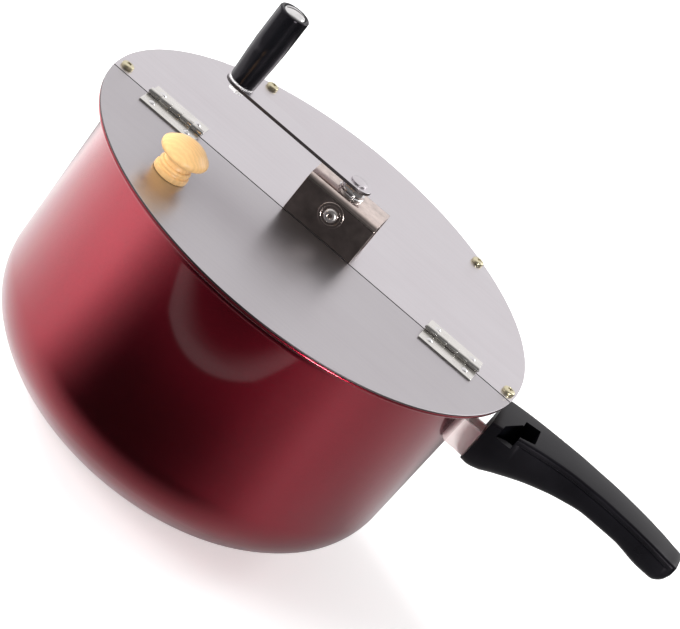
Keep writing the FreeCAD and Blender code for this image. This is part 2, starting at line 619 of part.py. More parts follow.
def make_gears():
    """Crank gear above, stirrer gear below, idler in front, all three pitch cones one apex."""
    crank_teeth, idler_teeth = int(val("crank_teeth")), int(val("idler_teeth"))
    apex = Vector(val("unit_x"), 0, val(LID + " + axle_up"))
    shaft = val("shaft_radius")
    step = 180.0 / crank_teeth
    # a tooth of the crank gear faces the door (-Y); the idler has a space at the top
    crank = bevel_gear(crank_teeth, idler_teeth, 9.25, shaft, -90.0)
    crank.translate(apex)
    solid("crank_gear", crank.removeSplitter())
    stirrer = bevel_gear(crank_teeth, idler_teeth, 11.4, shaft, -90.0 + 0 * step)
    stirrer = stirrer.mirror(Vector(), Vector(0, 0, 1))
    stirrer.translate(apex)
    solid("stirrer_gear", stirrer.removeSplitter())
    idler = bevel_gear(idler_teeth, crank_teeth, 11.05, val("axle_radius + running_fit"),
                       180.0 / idler_teeth)
    idler.rotate(Vector(), Vector(0, 1, 0), -90)
    idler.rotate(Vector(), Vector(0, 0, 1), 90)
    idler.translate(apex)
    solid("idler_gear", idler.removeSplitter())


# ---------------------------------------------------------------- crank
def make_crank():
    hub = ("unit_x", "0", LID)
    shaft = new_body("crank_shaft")
    turned(shaft, "crank_shaft_turning", [
        ("0", "axle_up + 3.3"), ("shaft_radius", "axle_up + 3.3"),
        ("shaft_radius", "arm_low + arm_thick + 0.8"),
        ("shaft_radius - 0.6", "arm_low + arm_thick + 1.2"), ("0", "arm_low + arm_thick + 1.2")], hub)
    washer = new_body("crank_hub_washer")
    turned(washer, "crank_hub_washer_turning", [
        ("shaft_radius", "box_height + 1.5"), ("6.6", "box_height + 1.5"),
        ("6.6", "box_height + 2.3"), ("shaft_radius", "box_height + 2.3")], hub)
    nut = new_body("crank_hub_nut")
    sketch = on_plane(nut, "crank_hub_nut_outline", "XY_Plane",
                      ("unit_x", "0", LID + " + box_height + 2.3"))
    outline(sketch, hexagon("10", turn=12))
    pad(nut, "crank_hub_nut_pad", sketch, "arm_low - box_height - 2.3")
    bore = on_plane(nut, "crank_hub_nut_bore", "XY_Plane", ("0", "0", LID + " + arm_low + 1"))
    circles(bore, [("unit_x", "0", "shaft_radius")])
    cut(nut, "crank_hub_nut_bore_cut", bore, "8")
    arm = new_body("crank_arm")
    sketch = on_plane(arm, "arm_outline", "XY_Plane", ("unit_x", "0", LID + " + arm_low"))
    outline(sketch, [
        ("0", "0 - arm_half", "arm_half", 1), ("arm_half", "0", "arm_half", 1),
        ("0", "arm_half"), ("0 - arm_reach", "arm_half", "arm_half", 1),
        ("0 - arm_reach - arm_half", "0", "arm_half", 1), ("0 - arm_reach", "0 - arm_half")])
    pad(arm, "arm_strip", sketch, "arm_thick")
    holes = on_plane(arm, "arm_holes", "XY_Plane", ("unit_x", "0", LID + " + arm_low + 5"))
    circles(holes, [("0", "0", "shaft_radius"), ("0 - arm_reach", "0", "grip_bolt")])
    cut(arm, "arm_hole_cuts", holes, "8")
    cap_nut = new_body("crank_dome_nut")
    top = "arm_low + arm_thick"
    turned(cap_nut, "dome_nut_turning", [
        ("shaft_radius", top), ("dome_radius", top),
        ("dome_radius", top + " + 0.7", dome("dome_radius", "dome_height - 0.7"), 1),
        ("0", top + " + dome_height"), ("0", top + " + 1.2"),
        ("shaft_radius - 0.6", top + " + 1.2"), ("shaft_radius", top + " + 0.8")], hub)


def make_grip():
    """Tapered plastic grip that spins on a long slotted bolt through the end of the arm."""
    spot = ("unit_x - arm_reach", "0", LID)
    grip = new_body("crank_grip")
    bore = "grip_bolt + grip_bore"
    well = "grip_high - grip_well_depth"
    turned(grip, "grip_turning", [
        (bore, "grip_low"), ("grip_base - 0.3", "grip_low"), ("grip_base", "grip_low + 0.3"),
        ("grip_wide", "grip_low + 24", "235", 1), ("grip_end", "grip_high - 0.6"),
        ("grip_end - 0.6", "grip_high"), ("grip_well", "grip_high"), ("grip_well", well),
        (bore, well)], spot)
    bolt = new_body("grip_bolt_slotted")
    under = "grip_high - grip_well_depth + 0.3"
    turned(bolt, "grip_bolt_turning", [
        ("0", "arm_low - grip_nut_thick - 0.4"), ("grip_bolt - 0.4", "arm_low - grip_nut_thick - 0.4"),
        ("grip_bolt", "arm_low - grip_nut_thick"), ("grip_bolt", under), ("grip_head", under),
        ("grip_head", under + " + 1.1", dome("grip_head", "grip_dome"), 1),
        ("0", under + " + 1.1 + grip_dome")], spot)
    slot = on_plane(bolt, "grip_bolt_slot", "XY_Plane",
                    ("unit_x - arm_reach", "0", LID + " + grip_high + 2"))
    slot.AttachmentOffset = Placement(slot.AttachmentOffset.Base, Rotation(Vector(0, 0, 1), 20))
    outline(slot, rectangle("-7", "7", "-0.7", "0.7"))
    cut(bolt, "grip_bolt_slot_cut", slot, "2.0")
    washer = new_body("grip_washer")
    turned(washer, "grip_washer_turning", [
        ("grip_bolt", "arm_low + arm_thick"), ("washer_radius", "arm_low + arm_thick"),
        ("washer_radius", "arm_low + arm_thick + washer_thick"),
        ("grip_bolt", "arm_low + arm_thick + washer_thick")], spot)
    nut = new_body("grip_nut")
    sketch = on_plane(nut, "grip_nut_outline", "XY_Plane",
                      ("unit_x - arm_reach", "0", LID + " + arm_low - grip_nut_thick"))
    outline(sketch, hexagon("grip_nut_flats", turn=8))
    pad(nut, "grip_nut_pad", sketch, "grip_nut_thick")
    hole = on_plane(nut, "grip_nut_bore", "XY_Plane", ("0", "0", LID + " + arm_low + 1"))
    circles(hole, [("unit_x - arm_reach", "0", "grip_bolt")])
    cut(nut, "grip_nut_bore_cut", hole, "8")


# ---------------------------------------------------------------- stirrer
def wire_path(reach, rise, low):
    """Half of a stirrer wire: level along the floor, then one wide bend up the wall."""
    bend = (rise - low) / (1 - math.cos(math.radians(52)))
    flat = reach - bend * math.sin(math.radians(52))
    middle = Vector(flat + bend * math.sin(math.radians(26)), 0,
                    low + bend * (1 - math.cos(math.radians(26))))
    return [Vector(flat, 0, low), middle, Vector(reach, 0, rise)]


def stirrer_wire(name, reach, rise, low, turn):
    """Round wire through the shaft, bent up at both ends, turned about the shaft by turn."""
    turned_by = Rotation(Vector(0, 0, 1), turn)
    centre = Vector(val("unit_x"), 0, 0)
    half = wire_path(reach, rise, low)
    right = [turned_by.multVec(p) + centre for p in half]
    left = [turned_by.multVec(Vector(-p.x, p.y, p.z)) + centre for p in half]
    edges = [
        Part.Arc(left[2], left[1], left[0]).toShape(),
        Part.makeLine(left[0], right[0]),
        Part.Arc(right[0], right[1], right[2]).toShape()]
    tangent = edges[0].tangentAt(edges[0].FirstParameter)
    circle = Part.Wire(Part.makeCircle(val("wire_radius"), left[2], tangent))
    rod = Part.Wire(edges).makePipeShell([circle], True, False)
    tips = [Part.makeSphere(val("wire_radius"), point) for point in (right[2], left[2])]
    return solid(name, rod.multiFuse(tips).removeSplitter())


def make_stirrer():
    """Vertical shaft from the gears to just above the floor, with two crossed bent wires."""
    rod = cylinder("stirrer_rod", "shaft_radius", LID + " + axle_up - 3.3 - stirrer_low",
                   ("unit_x", "0", "stirrer_low"))
    drills = [cylinder("floor_wire_drill", "wire_radius", "12", ("unit_x - 6", "0", "sweep_low"),
                       Rotation(Vector(0, 1, 0), 90)),
              cylinder("upper_wire_drill", "wire_radius", "12", ("unit_x", "6", "paddle_low"),
                       Rotation(Vector(1, 0, 0), 90))]
    both = doc.addObject("Part::MultiFuse", "wire_drills")
    both.Shapes = drills
    shaft = doc.addObject("Part::Cut", "stirrer_shaft")
    shaft.Label = "stirrer_shaft"
    shaft.Base = rod
    shaft.Tool = both
    nodes.append(shaft)
    collar = new_body("stirrer_collar")
    turned(collar, "stirrer_collar_turning", [
        ("shaft_radius", "0 - lid_thick - 5.3"), ("hub_radius", "0 - lid_thick - 5.3"),
        ("hub_radius", "0 - lid_thick - 1.8"), ("shaft_radius", "0 - lid_thick - 1.8")],
        ("unit_x", "0", LID))
    stirrer_wire("stirrer_floor_wire", val("sweep_reach"), val("sweep_rise"), val("sweep_low"), 0)
    stirrer_wire("stirrer_upper_wire", val("paddle_reach"), val("paddle_rise"),
                 val("paddle_low"), 90)


# ---------------------------------------------------------------- handle
def make_bracket():
    """Steel strap folded to a box: two ears on the pot's wall, a web inside the handle's neck."""
    body = new_body("handle_bracket")
    sketch = on_plane(body, "strap_outline", "XY_Plane", ("0", "0", "strap_low"))
    inside = "strap_half - strap_thick"
    outline(sketch, [
        ("110", "0 - strap_half"), ("strap_web", "0 - strap_half"), ("strap_web", "strap_half"),
        ("110", "strap_half"), ("110", "ear_gap"), ("ear_face", "ear_gap"),
        ("ear_face", inside), ("strap_web - strap_thick", inside),
        ("strap_web - strap_thick", "0 - strap_half + strap_thick"),
        ("ear_face", "0 - strap_half + strap_thick"), ("ear_face", "0 - ear_gap"),
        ("110", "0 - ear_gap")])
    pad(body, "strap_pad", sketch, "strap_high - strap_low")
    # the ears' faces lie on the pot's slightly conical wall
    slope = "( mouth_radius - corner_radius ) / ( flare_start - corner_height )"
    low = "( corner_radius + ( strap_low - 2 - corner_height ) * %s )" % slope
    high = "( corner_radius + ( strap_high + 2 - corner_height ) * %s )" % slope
    turned(body, "wall_relief", [("0", "strap_low - 2"), (low, "strap_low - 2"),
                                 (high, "strap_high + 2"), ("0", "strap_high + 2")], cut=True)
    hole = on_plane(body, "strap_bolt_hole", "YZ_Plane", ("0", "0", "strap_web + 3"))
    circles(hole, [("0", "bolt_up", "bolt_radius")])
    cut(body, "strap_bolt_hole_cut", hole, "6")


def make_handle():
    """Moulded handle: flat on top, rounded beneath, lofted through its stations."""
    body = new_body("main_handle")
    sketches = []
    for station in HANDLE:
        sketch = on_plane(body, "section_" + station, "YZ_Plane", ("0", "0", station + "_at"))
        half, top, low, bend = [station + part for part in ("_half", "_top", "_low", "_round")]
        outline(sketch, [
            ("0 - %s + %s" % (half, bend), low), ("%s - %s" % (half, bend), low, bend, 1),
            (half, "%s + %s" % (low, bend)), (half, top + " - top_edge", "top_edge", 1),
            (half + " - top_edge", top), ("0 - %s + top_edge" % half, top, "top_edge", 1),
            ("0 - " + half, top + " - top_edge"),
            ("0 - " + half, "%s + %s" % (low, bend), bend, 1)])
        sketches.append(sketch)
    loft = body.newObject("PartDesign::AdditiveLoft", "handle_loft")
    loft.Profile = sketches[0]
    loft.Sections = sketches[1:]
    loft.Ruled = False
    doc.recompute()
    # socket for the strap, well for the bolt's head, open pocket and shelf on the door side
    socket = on_plane(body, "strap_socket", "YZ_Plane", ("0", "0", "handle_start - 2"))
    outline(socket, rectangle("0 - strap_half - 0.1", "strap_half + 0.1",
                              "strap_low - 0.1", "strap_high + 0.1"))
    cut(body, "strap_socket_cut", socket, "strap_web - handle_start + 2", up=True)
    well = on_plane(body, "bolt_well", "XY_Plane", ("0", "0", "150"))
    outline(well, rectangle("well_start", "well_end", "well_front", "well_back"))
    cut(body, "bolt_well_cut", well, "150 - well_floor")
    pocket = on_plane(body, "side_pocket", "XY_Plane", ("0", "0", "150"))
    outline(pocket, [
        ("132.0", "-16.2"), ("137.0", "-12.4"), ("140.9", "-12.0"), ("141.0", "-14.6"),
        ("149.0", "-11.6"), ("well_end", "well_back"), ("well_start", "4.2"),
        ("well_start", "-1.2"), ("138.8", "-1.2"), ("132.2", "-13.3")])
    cut(body, "side_pocket_cut", pocket, "150 - pocket_floor")
    shelf = on_plane(body, "side_shelf", "XY_Plane", ("0", "0", "150"))
    outline(shelf, [
        ("131.9", "-25"), ("141.2", "-25"), ("141.0", "-14.6"), ("140.9", "-11.8"),
        ("137.0", "-12.2"), ("132.0", "-16.0")])
    cut(body, "side_shelf_cut", shelf, "150 - shelf_floor")
    hole = on_plane(body, "handle_bolt_hole", "YZ_Plane", ("0", "0", "well_start + 3"))
    circles(hole, [("0", "bolt_up", "bolt_radius")])
    cut(body, "handle_bolt_hole_cut", hole, "8")
    bolt = new_body("handle_bolt")
    spot = ("0", "0", "bolt_up")
    turned(bolt, "handle_bolt_turning", [
        ("0", "strap_web - strap_thick - 4.6"), ("bolt_radius", "strap_web - strap_thick - 4.6"),
        ("bolt_radius", "well_start"), ("bolt_head", "well_start"),
        ("bolt_head", "well_start + 1.2", dome("bolt_head", "1.4"), 1),
        ("0", "well_start + 2.6")], spot, axis="X")
    nut = new_body("handle_bolt_nut")
    sketch = on_plane(nut, "handle_nut_outline", "YZ_Plane",
                      ("0", "bolt_up", "strap_web - strap_thick - 3.4"))
    outline(sketch, hexagon("handle_nut_flats", turn=30))
    pad(nut, "handle_nut_pad", sketch, "3.4")
    hole = on_plane(nut, "handle_nut_bore", "YZ_Plane", ("0", "bolt_up", "strap_web"))
    circles(hole, [("0", "0", "bolt_radius")])
    cut(nut, "handle_nut_bore_cut", hole, "8")


make_pot()
make_lid()
make_rim_screws()
make_hinge("left", -1)
make_hinge("right", 1)
make_rivets("fixed_leaf_rivets", leaf_rivet_spots(1), "leaf_thick")
make_rivets("door_leaf_rivets", leaf_rivet_spots(-1), "leaf_thick")
make_rivets("housing_rivets", FOOT_SPOTS, "sheet_thick")
make_knob()
make_housing()
make_axle()
make_bushes()
make_gears()
make_crank()
make_grip()
make_stirrer()
make_bracket()
make_handle()
doc.recompute()

# ---------------------------------------------------------------- checks and files
faults = []
for item in doc.Objects:
    if any(word in str(item.State) for word in ("Invalid", "Error")):
        faults.append("%s: %s" % (item.Name, item.State))
for node in nodes:
    if node.Shape.isNull() or not node.Shape.isValid():
        faults.append(node.Label + ": no valid shape")
if faults:
    raise RuntimeError("; ".join(faults))
os.makedirs("parts", exist_ok=True)
for node in nodes:
    node.Shape.exportStep("parts/%s.step" % node.Label)
    box = node.Shape.BoundBox
    print("%-28s solids %d  volume %9.1f  x %.1f..%.1f  y %.1f..%.1f  z %.1f..%.1f" % (
        node.Label, len(node.Shape.Solids), node.Shape.Volume, box.XMin, box.XMax,
        box.YMin, box.YMax, box.ZMin, box.ZMax))
print("nodes", len(nodes))
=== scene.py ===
import math

import bmesh
import bpy
from mathutils import Matrix, Vector


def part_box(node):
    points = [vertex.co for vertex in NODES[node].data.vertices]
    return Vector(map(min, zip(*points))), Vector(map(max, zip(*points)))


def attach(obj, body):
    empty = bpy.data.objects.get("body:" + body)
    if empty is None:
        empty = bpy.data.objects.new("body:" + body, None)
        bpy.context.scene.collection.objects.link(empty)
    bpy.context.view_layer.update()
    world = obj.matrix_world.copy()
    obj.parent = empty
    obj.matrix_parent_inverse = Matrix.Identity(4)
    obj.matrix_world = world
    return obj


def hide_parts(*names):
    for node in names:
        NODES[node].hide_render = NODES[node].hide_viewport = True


bl_info = {
    "name": "Popcorn Popper",
    "version": (1, 0, 0),
    "blender": (4, 5, 0),
    "location": "View3D > Sidebar > Popper",
    "description": "Dresses a stovetop popcorn popper: pot, hinged lid, geared crank and handle",
    "category": "Object",
}

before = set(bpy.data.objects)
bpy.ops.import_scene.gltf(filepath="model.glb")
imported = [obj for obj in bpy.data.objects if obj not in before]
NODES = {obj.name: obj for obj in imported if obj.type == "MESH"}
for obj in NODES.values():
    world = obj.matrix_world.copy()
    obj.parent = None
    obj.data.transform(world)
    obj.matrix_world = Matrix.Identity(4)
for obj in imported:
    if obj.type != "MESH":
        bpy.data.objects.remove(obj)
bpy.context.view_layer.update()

LID_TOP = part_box("lid_fixed_half")[1].z
LID_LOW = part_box("lid_fixed_half")[0].z
LID_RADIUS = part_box("lid_fixed_half")[1].x
SPLIT_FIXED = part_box("lid_fixed_half")[0].y + 0.0002
SPLIT_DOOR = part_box("lid_door")[1].y - 0.0002
BOX_LOW, BOX_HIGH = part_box("gear_housing")
KNOB_LOW, KNOB_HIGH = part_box("door_knob")
GRIP_LOW, GRIP_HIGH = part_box("crank_grip")
ARM_LOW, ARM_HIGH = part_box("crank_arm")
UNIT_X = (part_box("crank_shaft")[0].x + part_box("crank_shaft")[1].x) / 2
GRIP_X = (GRIP_LOW.x + GRIP_HIGH.x) / 2
AXLE_UP = (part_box("idler_axle")[0].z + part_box("idler_axle")[1].z) / 2
KNOB_X, KNOB_Y = (KNOB_LOW.x + KNOB_HIGH.x) / 2, (KNOB_LOW.y + KNOB_HIGH.y) / 2
HOUSING_FRONT = -0.0124
HINGE_LENGTH, HINGE_Y, HINGE_UP = 0.033, -0.0128, LID_TOP + 0.0019
HINGE_MIDDLE, RIVET_STEP, RIVET_OFFSET = 0.088, 0.011, 0.0082
NUT_LOW, NUT_HIGH = 0.1411, 0.1435


# ------------------------------------------------------------------ settings
class PotSettings(bpy.types.PropertyGroup):
    """Sizes and colours of the pot."""
    paint: bpy.props.FloatVectorProperty(
        name="Paint", description="Colour of the enamel outside", subtype="COLOR", size=3,
        min=0.0, max=1.0, default=(0.37, 0.014, 0.034))
    wall: bpy.props.FloatProperty(
        name="Wall", description="Thickness of the pot's wall", default=0.002, unit="LENGTH")
    segments: bpy.props.IntProperty(
        name="Segments", description="Facets round the pot", default=256, min=64)


class LidSettings(bpy.types.PropertyGroup):
    """Sizes and colours of the lid's sheet and its small hardware."""
    sheet: bpy.props.FloatVectorProperty(
        name="Sheet", description="Colour of the brushed sheet", subtype="COLOR", size=3,
        min=0.0, max=1.0, default=(0.64, 0.61, 0.63))
    edge: bpy.props.FloatProperty(
        name="Edge", description="Rounding of the sheet's edge", default=0.0002, unit="LENGTH")
    brass: bpy.props.FloatVectorProperty(
        name="Brass", description="Colour of the rim screws", subtype="COLOR", size=3,
        min=0.0, max=1.0, default=(0.80, 0.73, 0.50))


class CrankSettings(bpy.types.PropertyGroup):
    """Sizes and colours of the crank and the housing under it."""
    plastic: bpy.props.FloatVectorProperty(
        name="Plastic", description="Colour of the crank's grip", subtype="COLOR", size=3,
        min=0.0, max=1.0, default=(0.004, 0.004, 0.005))
    housing: bpy.props.FloatVectorProperty(
        name="Housing", description="Colour of the polished housing", subtype="COLOR", size=3,
        min=0.0, max=1.0, default=(0.84, 0.71, 0.65))
    bend: bpy.props.FloatProperty(
        name="Bend", description="Outer radius of the housing's folds", default=0.004,
        unit="LENGTH")


class HandleSettings(bpy.types.PropertyGroup):
    """Sizes and colours of the long handle and the door's knob."""
    moulding: bpy.props.FloatVectorProperty(
        name="Moulding", description="Colour of the moulded handle", subtype="COLOR", size=3,
        min=0.0, max=1.0, default=(0.003, 0.003, 0.004))
    maple: bpy.props.FloatVectorProperty(
        name="Maple", description="Colour of the turned knob", subtype="COLOR", size=3,
        min=0.0, max=1.0, default=(0.80, 0.50, 0.22))
    top_edge: bpy.props.FloatProperty(
        name="Top Edge", description="Rounding along the handle's top", default=0.0016,
        unit="LENGTH")


class StageSettings(bpy.types.PropertyGroup):
    """Floor, lamps and camera."""
    azimuth: bpy.props.FloatProperty(
        name="Azimuth", description="Camera's angle round the pot", default=math.radians(1.48),
        subtype="ANGLE")
    elevation: bpy.props.FloatProperty(
        name="Elevation", description="Camera's angle above the floor",
        default=math.radians(24.18), subtype="ANGLE")
    roll: bpy.props.FloatProperty(
        name="Roll", description="Camera's turn about its own axis",
        default=math.radians(39.95), subtype="ANGLE")
    distance: bpy.props.FloatProperty(
        name="Distance", description="From the lid's centre to the camera", default=1.27,
        unit="LENGTH")


# ------------------------------------------------------------------ outlines
def arc(cx, cy, radius, start, end, steps=8):
    """Points of an arc, angles in degrees, both ends included."""
    return [(cx + radius * math.cos(math.radians(start + (end - start) * i / steps)),
             cy + radius * math.sin(math.radians(start + (end - start) * i / steps)))
            for i in range(steps + 1)]


def rounded(corners, steps=5):
    """Closed outline: each corner is (x, y, radius) and is turned on its radius."""
    out = []
    count = len(corners)
    for i, corner in enumerate(corners):
        here = Vector(corner[:2])
        radius = corner[2] if len(corner) > 2 else 0.0
        before = (Vector(corners[i - 1][:2]) - here)
        after = (Vector(corners[(i + 1) % count][:2]) - here)
        if radius <= 0 or before.length < 1e-9 or after.length < 1e-9:
            out.append(tuple(here))
            continue
        one, two = before.normalized(), after.normalized()
        angle = one.angle(two)
        reach = min(radius / math.tan(angle / 2), before.length * 0.499, after.length * 0.499)
        radius = reach * math.tan(angle / 2)
        centre = here + (one + two).normalized() * (radius / math.sin(angle / 2))
        start, end = here + one * reach - centre, here + two * reach - centre
        a0, a1 = math.atan2(start.y, start.x), math.atan2(end.y, end.x)
        turn = (a1 - a0 + math.pi) % (2 * math.pi) - math.pi
        for k in range(steps + 1):
            a = a0 + turn * k / steps
            out.append((centre.x + radius * math.cos(a), centre.y + radius * math.sin(a)))
    return out


def smooth_value(stations, column, x):
    """Smooth curve through the stations' column (monotone cubic), read at x."""
    xs = [s[0] for s in stations]
    ys = [s[column] for s in stations]
    count = len(xs)
    slopes = [(ys[i + 1] - ys[i]) / (xs[i + 1] - xs[i]) for i in range(count - 1)]
    tangents = [slopes[0]]
    for i in range(1, count - 1):
        if slopes[i - 1] * slopes[i] <= 0:
            tangents.append(0.0)
        else:
            w0 = 2 * (xs[i + 1] - xs[i]) + (xs[i] - xs[i - 1])
            w1 = (xs[i + 1] - xs[i]) + 2 * (xs[i] - xs[i - 1])
            tangents.append((w0 + w1) / (w0 / slopes[i - 1] + w1 / slopes[i]))
    tangents.append(slopes[-1])
    i = max(0, min(count - 2, sum(1 for v in xs[1:] if x > v)))
    span = xs[i + 1] - xs[i]
    t = min(max((x - xs[i]) / span, 0.0), 1.0)
    return ((2 * t ** 3 - 3 * t ** 2 + 1) * ys[i] + (t ** 3 - 2 * t ** 2 + t) * span * tangents[i]
            + (-2 * t ** 3 + 3 * t ** 2) * ys[i + 1] + (t ** 3 - t ** 2) * span * tangents[i + 1])


# ------------------------------------------------------------------ mesh builders
def mesh_object(name, mesh):
    """A new object for a mesh, linked to the scene."""
    obj = bpy.data.objects.new(name, mesh)
    bpy.context.scene.collection.objects.link(obj)
    return obj


def from_bmesh(name, work):
    """A smooth-shaded piece from a finished bmesh, with its faces turned outwards."""
    bmesh.ops.recalc_face_normals(work, faces=work.faces)
    for face in work.faces:
        face.smooth = True
    mesh = bpy.data.meshes.new(name)
    work.to_mesh(mesh)
    work.free()
    return mesh_object(name, mesh)


def turned_piece(name, profile, centre, axis="Z", segments=96, closed=True, inner_from=None):
    """Turns a profile of (radius, along) points about an axis through centre.  Faces from the
    profile's point inner_from onwards get the piece's second material."""
    work = bmesh.new()
    rings = []
    for radius, along in profile:
        if radius < 1e-7:
            rings.append([work.verts.new((0, 0, along))])
            continue
        rings.append([work.verts.new((radius * math.cos(2 * math.pi * k / segments),
                                      radius * math.sin(2 * math.pi * k / segments), along))
                      for k in range(segments)])
    pairs = len(rings) if closed else len(rings) - 1
    for i in range(pairs):
        low, high = rings[i], rings[(i + 1) % len(rings)]
        if len(low) == 1 and len(high) == 1:
            continue
        for k in range(segments):
            n = (k + 1) % segments
            corners = [low[k % len(low)], low[n % len(low)], high[n % len(high)],
                       high[k % len(high)]]
            corners = [v for j, v in enumerate(corners) if v is not corners[j - 1]]
            face = work.faces.new(corners)
            if inner_from is not None and i >= inner_from:
                face.material_index = 1
    obj = from_bmesh(name, work)
    turn = {"Z": Matrix(), "Y": Matrix.Rotation(math.radians(-90), 4, "X"),
            "X": Matrix.Rotation(math.radians(90), 4, "Y")}[axis]
    obj.data.transform(Matrix.Translation(Vector(centre)) @ turn)
    return obj


def plate_piece(name, outline, low, high, edge=0.0, holes=(), plane="XY"):
    """A flat sheet with softly rounded edges: an outline with holes, from low to high.  In the
    plane YZ the outline lies across X."""
    curve = bpy.data.curves.new(name, "CURVE")
    curve.dimensions = "2D"
    curve.fill_mode = "BOTH"
    curve.extrude = (high - low) / 2 - edge
    curve.bevel_depth = edge
    curve.bevel_resolution = 2
    curve.offset = -edge
    for loop in [outline] + list(holes):
        spline = curve.splines.new("POLY")
        spline.points.add(len(loop) - 1)
        for point, (x, y) in zip(spline.points, loop):
            point.co = (x, y, 0, 1)
        spline.use_cyclic_u = True
    holder = bpy.data.objects.new(name + "_curve", curve)
    bpy.context.scene.collection.objects.link(holder)
    bpy.context.view_layer.update()
    mesh = bpy.data.meshes.new_from_object(
        holder.evaluated_get(bpy.context.evaluated_depsgraph_get()))
    bpy.data.objects.remove(holder)
    mesh.name = name
    work = bmesh.new()
    work.from_mesh(mesh)
    bmesh.ops.remove_doubles(work, verts=work.verts, dist=1e-7)
    bmesh.ops.dissolve_degenerate(work, edges=work.edges, dist=1e-8)
    bmesh.ops.recalc_face_normals(work, faces=work.faces)
    for face in work.faces:
        face.smooth = any(abs(abs(v.co.z) - (high - low) / 2) > 1e-6 for v in face.verts)
    work.to_mesh(mesh)
    work.free()
    obj = mesh_object(name, mesh)
    middle = (low + high) / 2
    mesh.transform(Matrix.Translation((0, 0, middle)) if plane == "XY" else
                   Matrix(((0, 0, 1, middle), (1, 0, 0, 0), (0, 1, 0, 0), (0, 0, 0, 1))))
    return obj


def lofted_piece(name, sections):
    """Skin over closed sections with the same number of points, capped at both ends."""
    work = bmesh.new()
    rings = [[work.verts.new(p) for p in section] for section in sections]
    count = len(rings[0])
    for low, high in zip(rings, rings[1:]):
        for k in range(count):
            work.faces.new((low[k], low[(k + 1) % count], high[(k + 1) % count], high[k]))
    for ring in (rings[0], rings[-1]):
        middle = sum((v.co for v in ring), Vector()) / count
        centre = work.verts.new(middle)
        for k in range(count):
            work.faces.new((ring[k], ring[(k + 1) % count], centre))
    return from_bmesh(name, work)


def cut_away(obj, *tools):
    """Takes the tools' solids out of obj and removes the tools."""
    for tool in tools:
        bpy.context.view_layer.update()
        step = obj.modifiers.new("cut", "BOOLEAN")
        step.operation = "DIFFERENCE"
        step.solver = "EXACT"
        step.object = tool
        bpy.context.view_layer.update()
        mesh = bpy.data.meshes.new_from_object(
            obj.evaluated_get(bpy.context.evaluated_depsgraph_get()))
        obj.modifiers.clear()
        old = obj.data
        obj.data = mesh
        mesh.name = old.name
        bpy.data.meshes.remove(old)
        bpy.data.objects.remove(tool)
    return obj


def joined(name, objects):
    """One piece made of several closed meshes; material slots are kept in order."""
    work = bmesh.new()
    for obj in objects:
        work.from_mesh(obj.data)
    mesh = bpy.data.meshes.new(name)
    work.to_mesh(mesh)
    work.free()
    for obj in objects:
        old = obj.data
        bpy.data.objects.remove(obj)
        bpy.data.meshes.remove(old)
    return mesh_object(name, mesh)


def soften(obj, width):
    """Small bevel on a node's sharp edges."""
    step = obj.modifiers.new("soft edges", "BEVEL")
    step.width = width
    step.segments = 2
    step.limit_method = "ANGLE"
    step.angle_limit = math.radians(35)


def dress(obj, body, nodes, slot, *materials, angle=32):
    """Gives a new piece its materials and its body, and hides the nodes that it stands for."""
    indices = [face.material_index for face in obj.data.polygons]
    obj.data.materials.clear()
    for material in materials:
        obj.data.materials.append(material)
    obj.data.polygons.foreach_set("material_index", indices)
    flat = [face.index for face in obj.data.polygons if not face.use_smooth]
    obj.data.set_sharp_from_angle(angle=math.radians(angle))
    for index in flat:
        obj.data.polygons[index].use_smooth = False
    obj.data.update()
    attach(obj, body)
    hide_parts(*nodes)
    return obj


def dress_node(name, material, angle=32):
    """A node of the frame keeps its shape and gets a finished material."""
    obj = NODES[name]
    obj.data.materials.clear()
    obj.data.materials.append(material)
    obj.data.polygons.foreach_set("use_smooth", [True] * len(obj.data.polygons))
    obj.data.set_sharp_from_angle(angle=math.radians(angle))
    return obj


# ------------------------------------------------------------------ materials
def blank(name):
    """A material with an output and one empty principled shader."""
    material = bpy.data.materials.get(name) or bpy.data.materials.new(name)
    material.use_nodes = True
    tree = material.node_tree
    tree.nodes.clear()
    out = tree.nodes.new("ShaderNodeOutputMaterial")
    shader = tree.nodes.new("ShaderNodeBsdfPrincipled")
    tree.links.new(shader.outputs["BSDF"], out.inputs["Surface"])
    return material, tree, shader


def node(tree, kind, inputs=None, **settings):
    """Adds a node; each input is a value or another node's output."""
    made = tree.nodes.new("ShaderNode" + kind)
    for key, value in settings.items():
        setattr(made, key, value)
    for key, value in (inputs or {}).items():
        if isinstance(value, bpy.types.NodeSocket):
            tree.links.new(value, made.inputs[key])
        else:
            made.inputs[key].default_value = value
    return made


def grain(tree, scale, stretch=(1, 1, 1), detail=4.0, rough=0.55, distortion=0.0):
    """Noise over the piece's own coordinates, stretched along its axes."""
    place = node(tree, "TexCoord")
    mapping = node(tree, "Mapping", {"Vector": place.outputs["Object"], "Scale": stretch})
    return node(tree, "TexNoise", {
        "Vector": mapping.outputs["Vector"], "Scale": scale, "Detail": detail,
        "Roughness": rough, "Distortion": distortion}).outputs["Fac"]


def spread(tree, value, low, high):
    """Maps a noise value from its middle range to low..high."""
    return node(tree, "MapRange", {
        "Value": value, "From Min": 0.3, "From Max": 0.7, "To Min": low, "To Max": high}
        ).outputs["Result"]


def tint(tree, factor, one, two, kind="MIX"):
    """Mixes two colours by factor; each is three numbers or another node's output."""
    mix = node(tree, "Mix", data_type="RGBA", blend_type=kind)
    tree.links.new(factor, mix.inputs[0])
    for socket, colour in ((mix.inputs[6], one), (mix.inputs[7], two)):
        if isinstance(colour, bpy.types.NodeSocket):
            tree.links.new(colour, socket)
        else:
            socket.default_value = (*colour, 1)
    return mix.outputs[2]


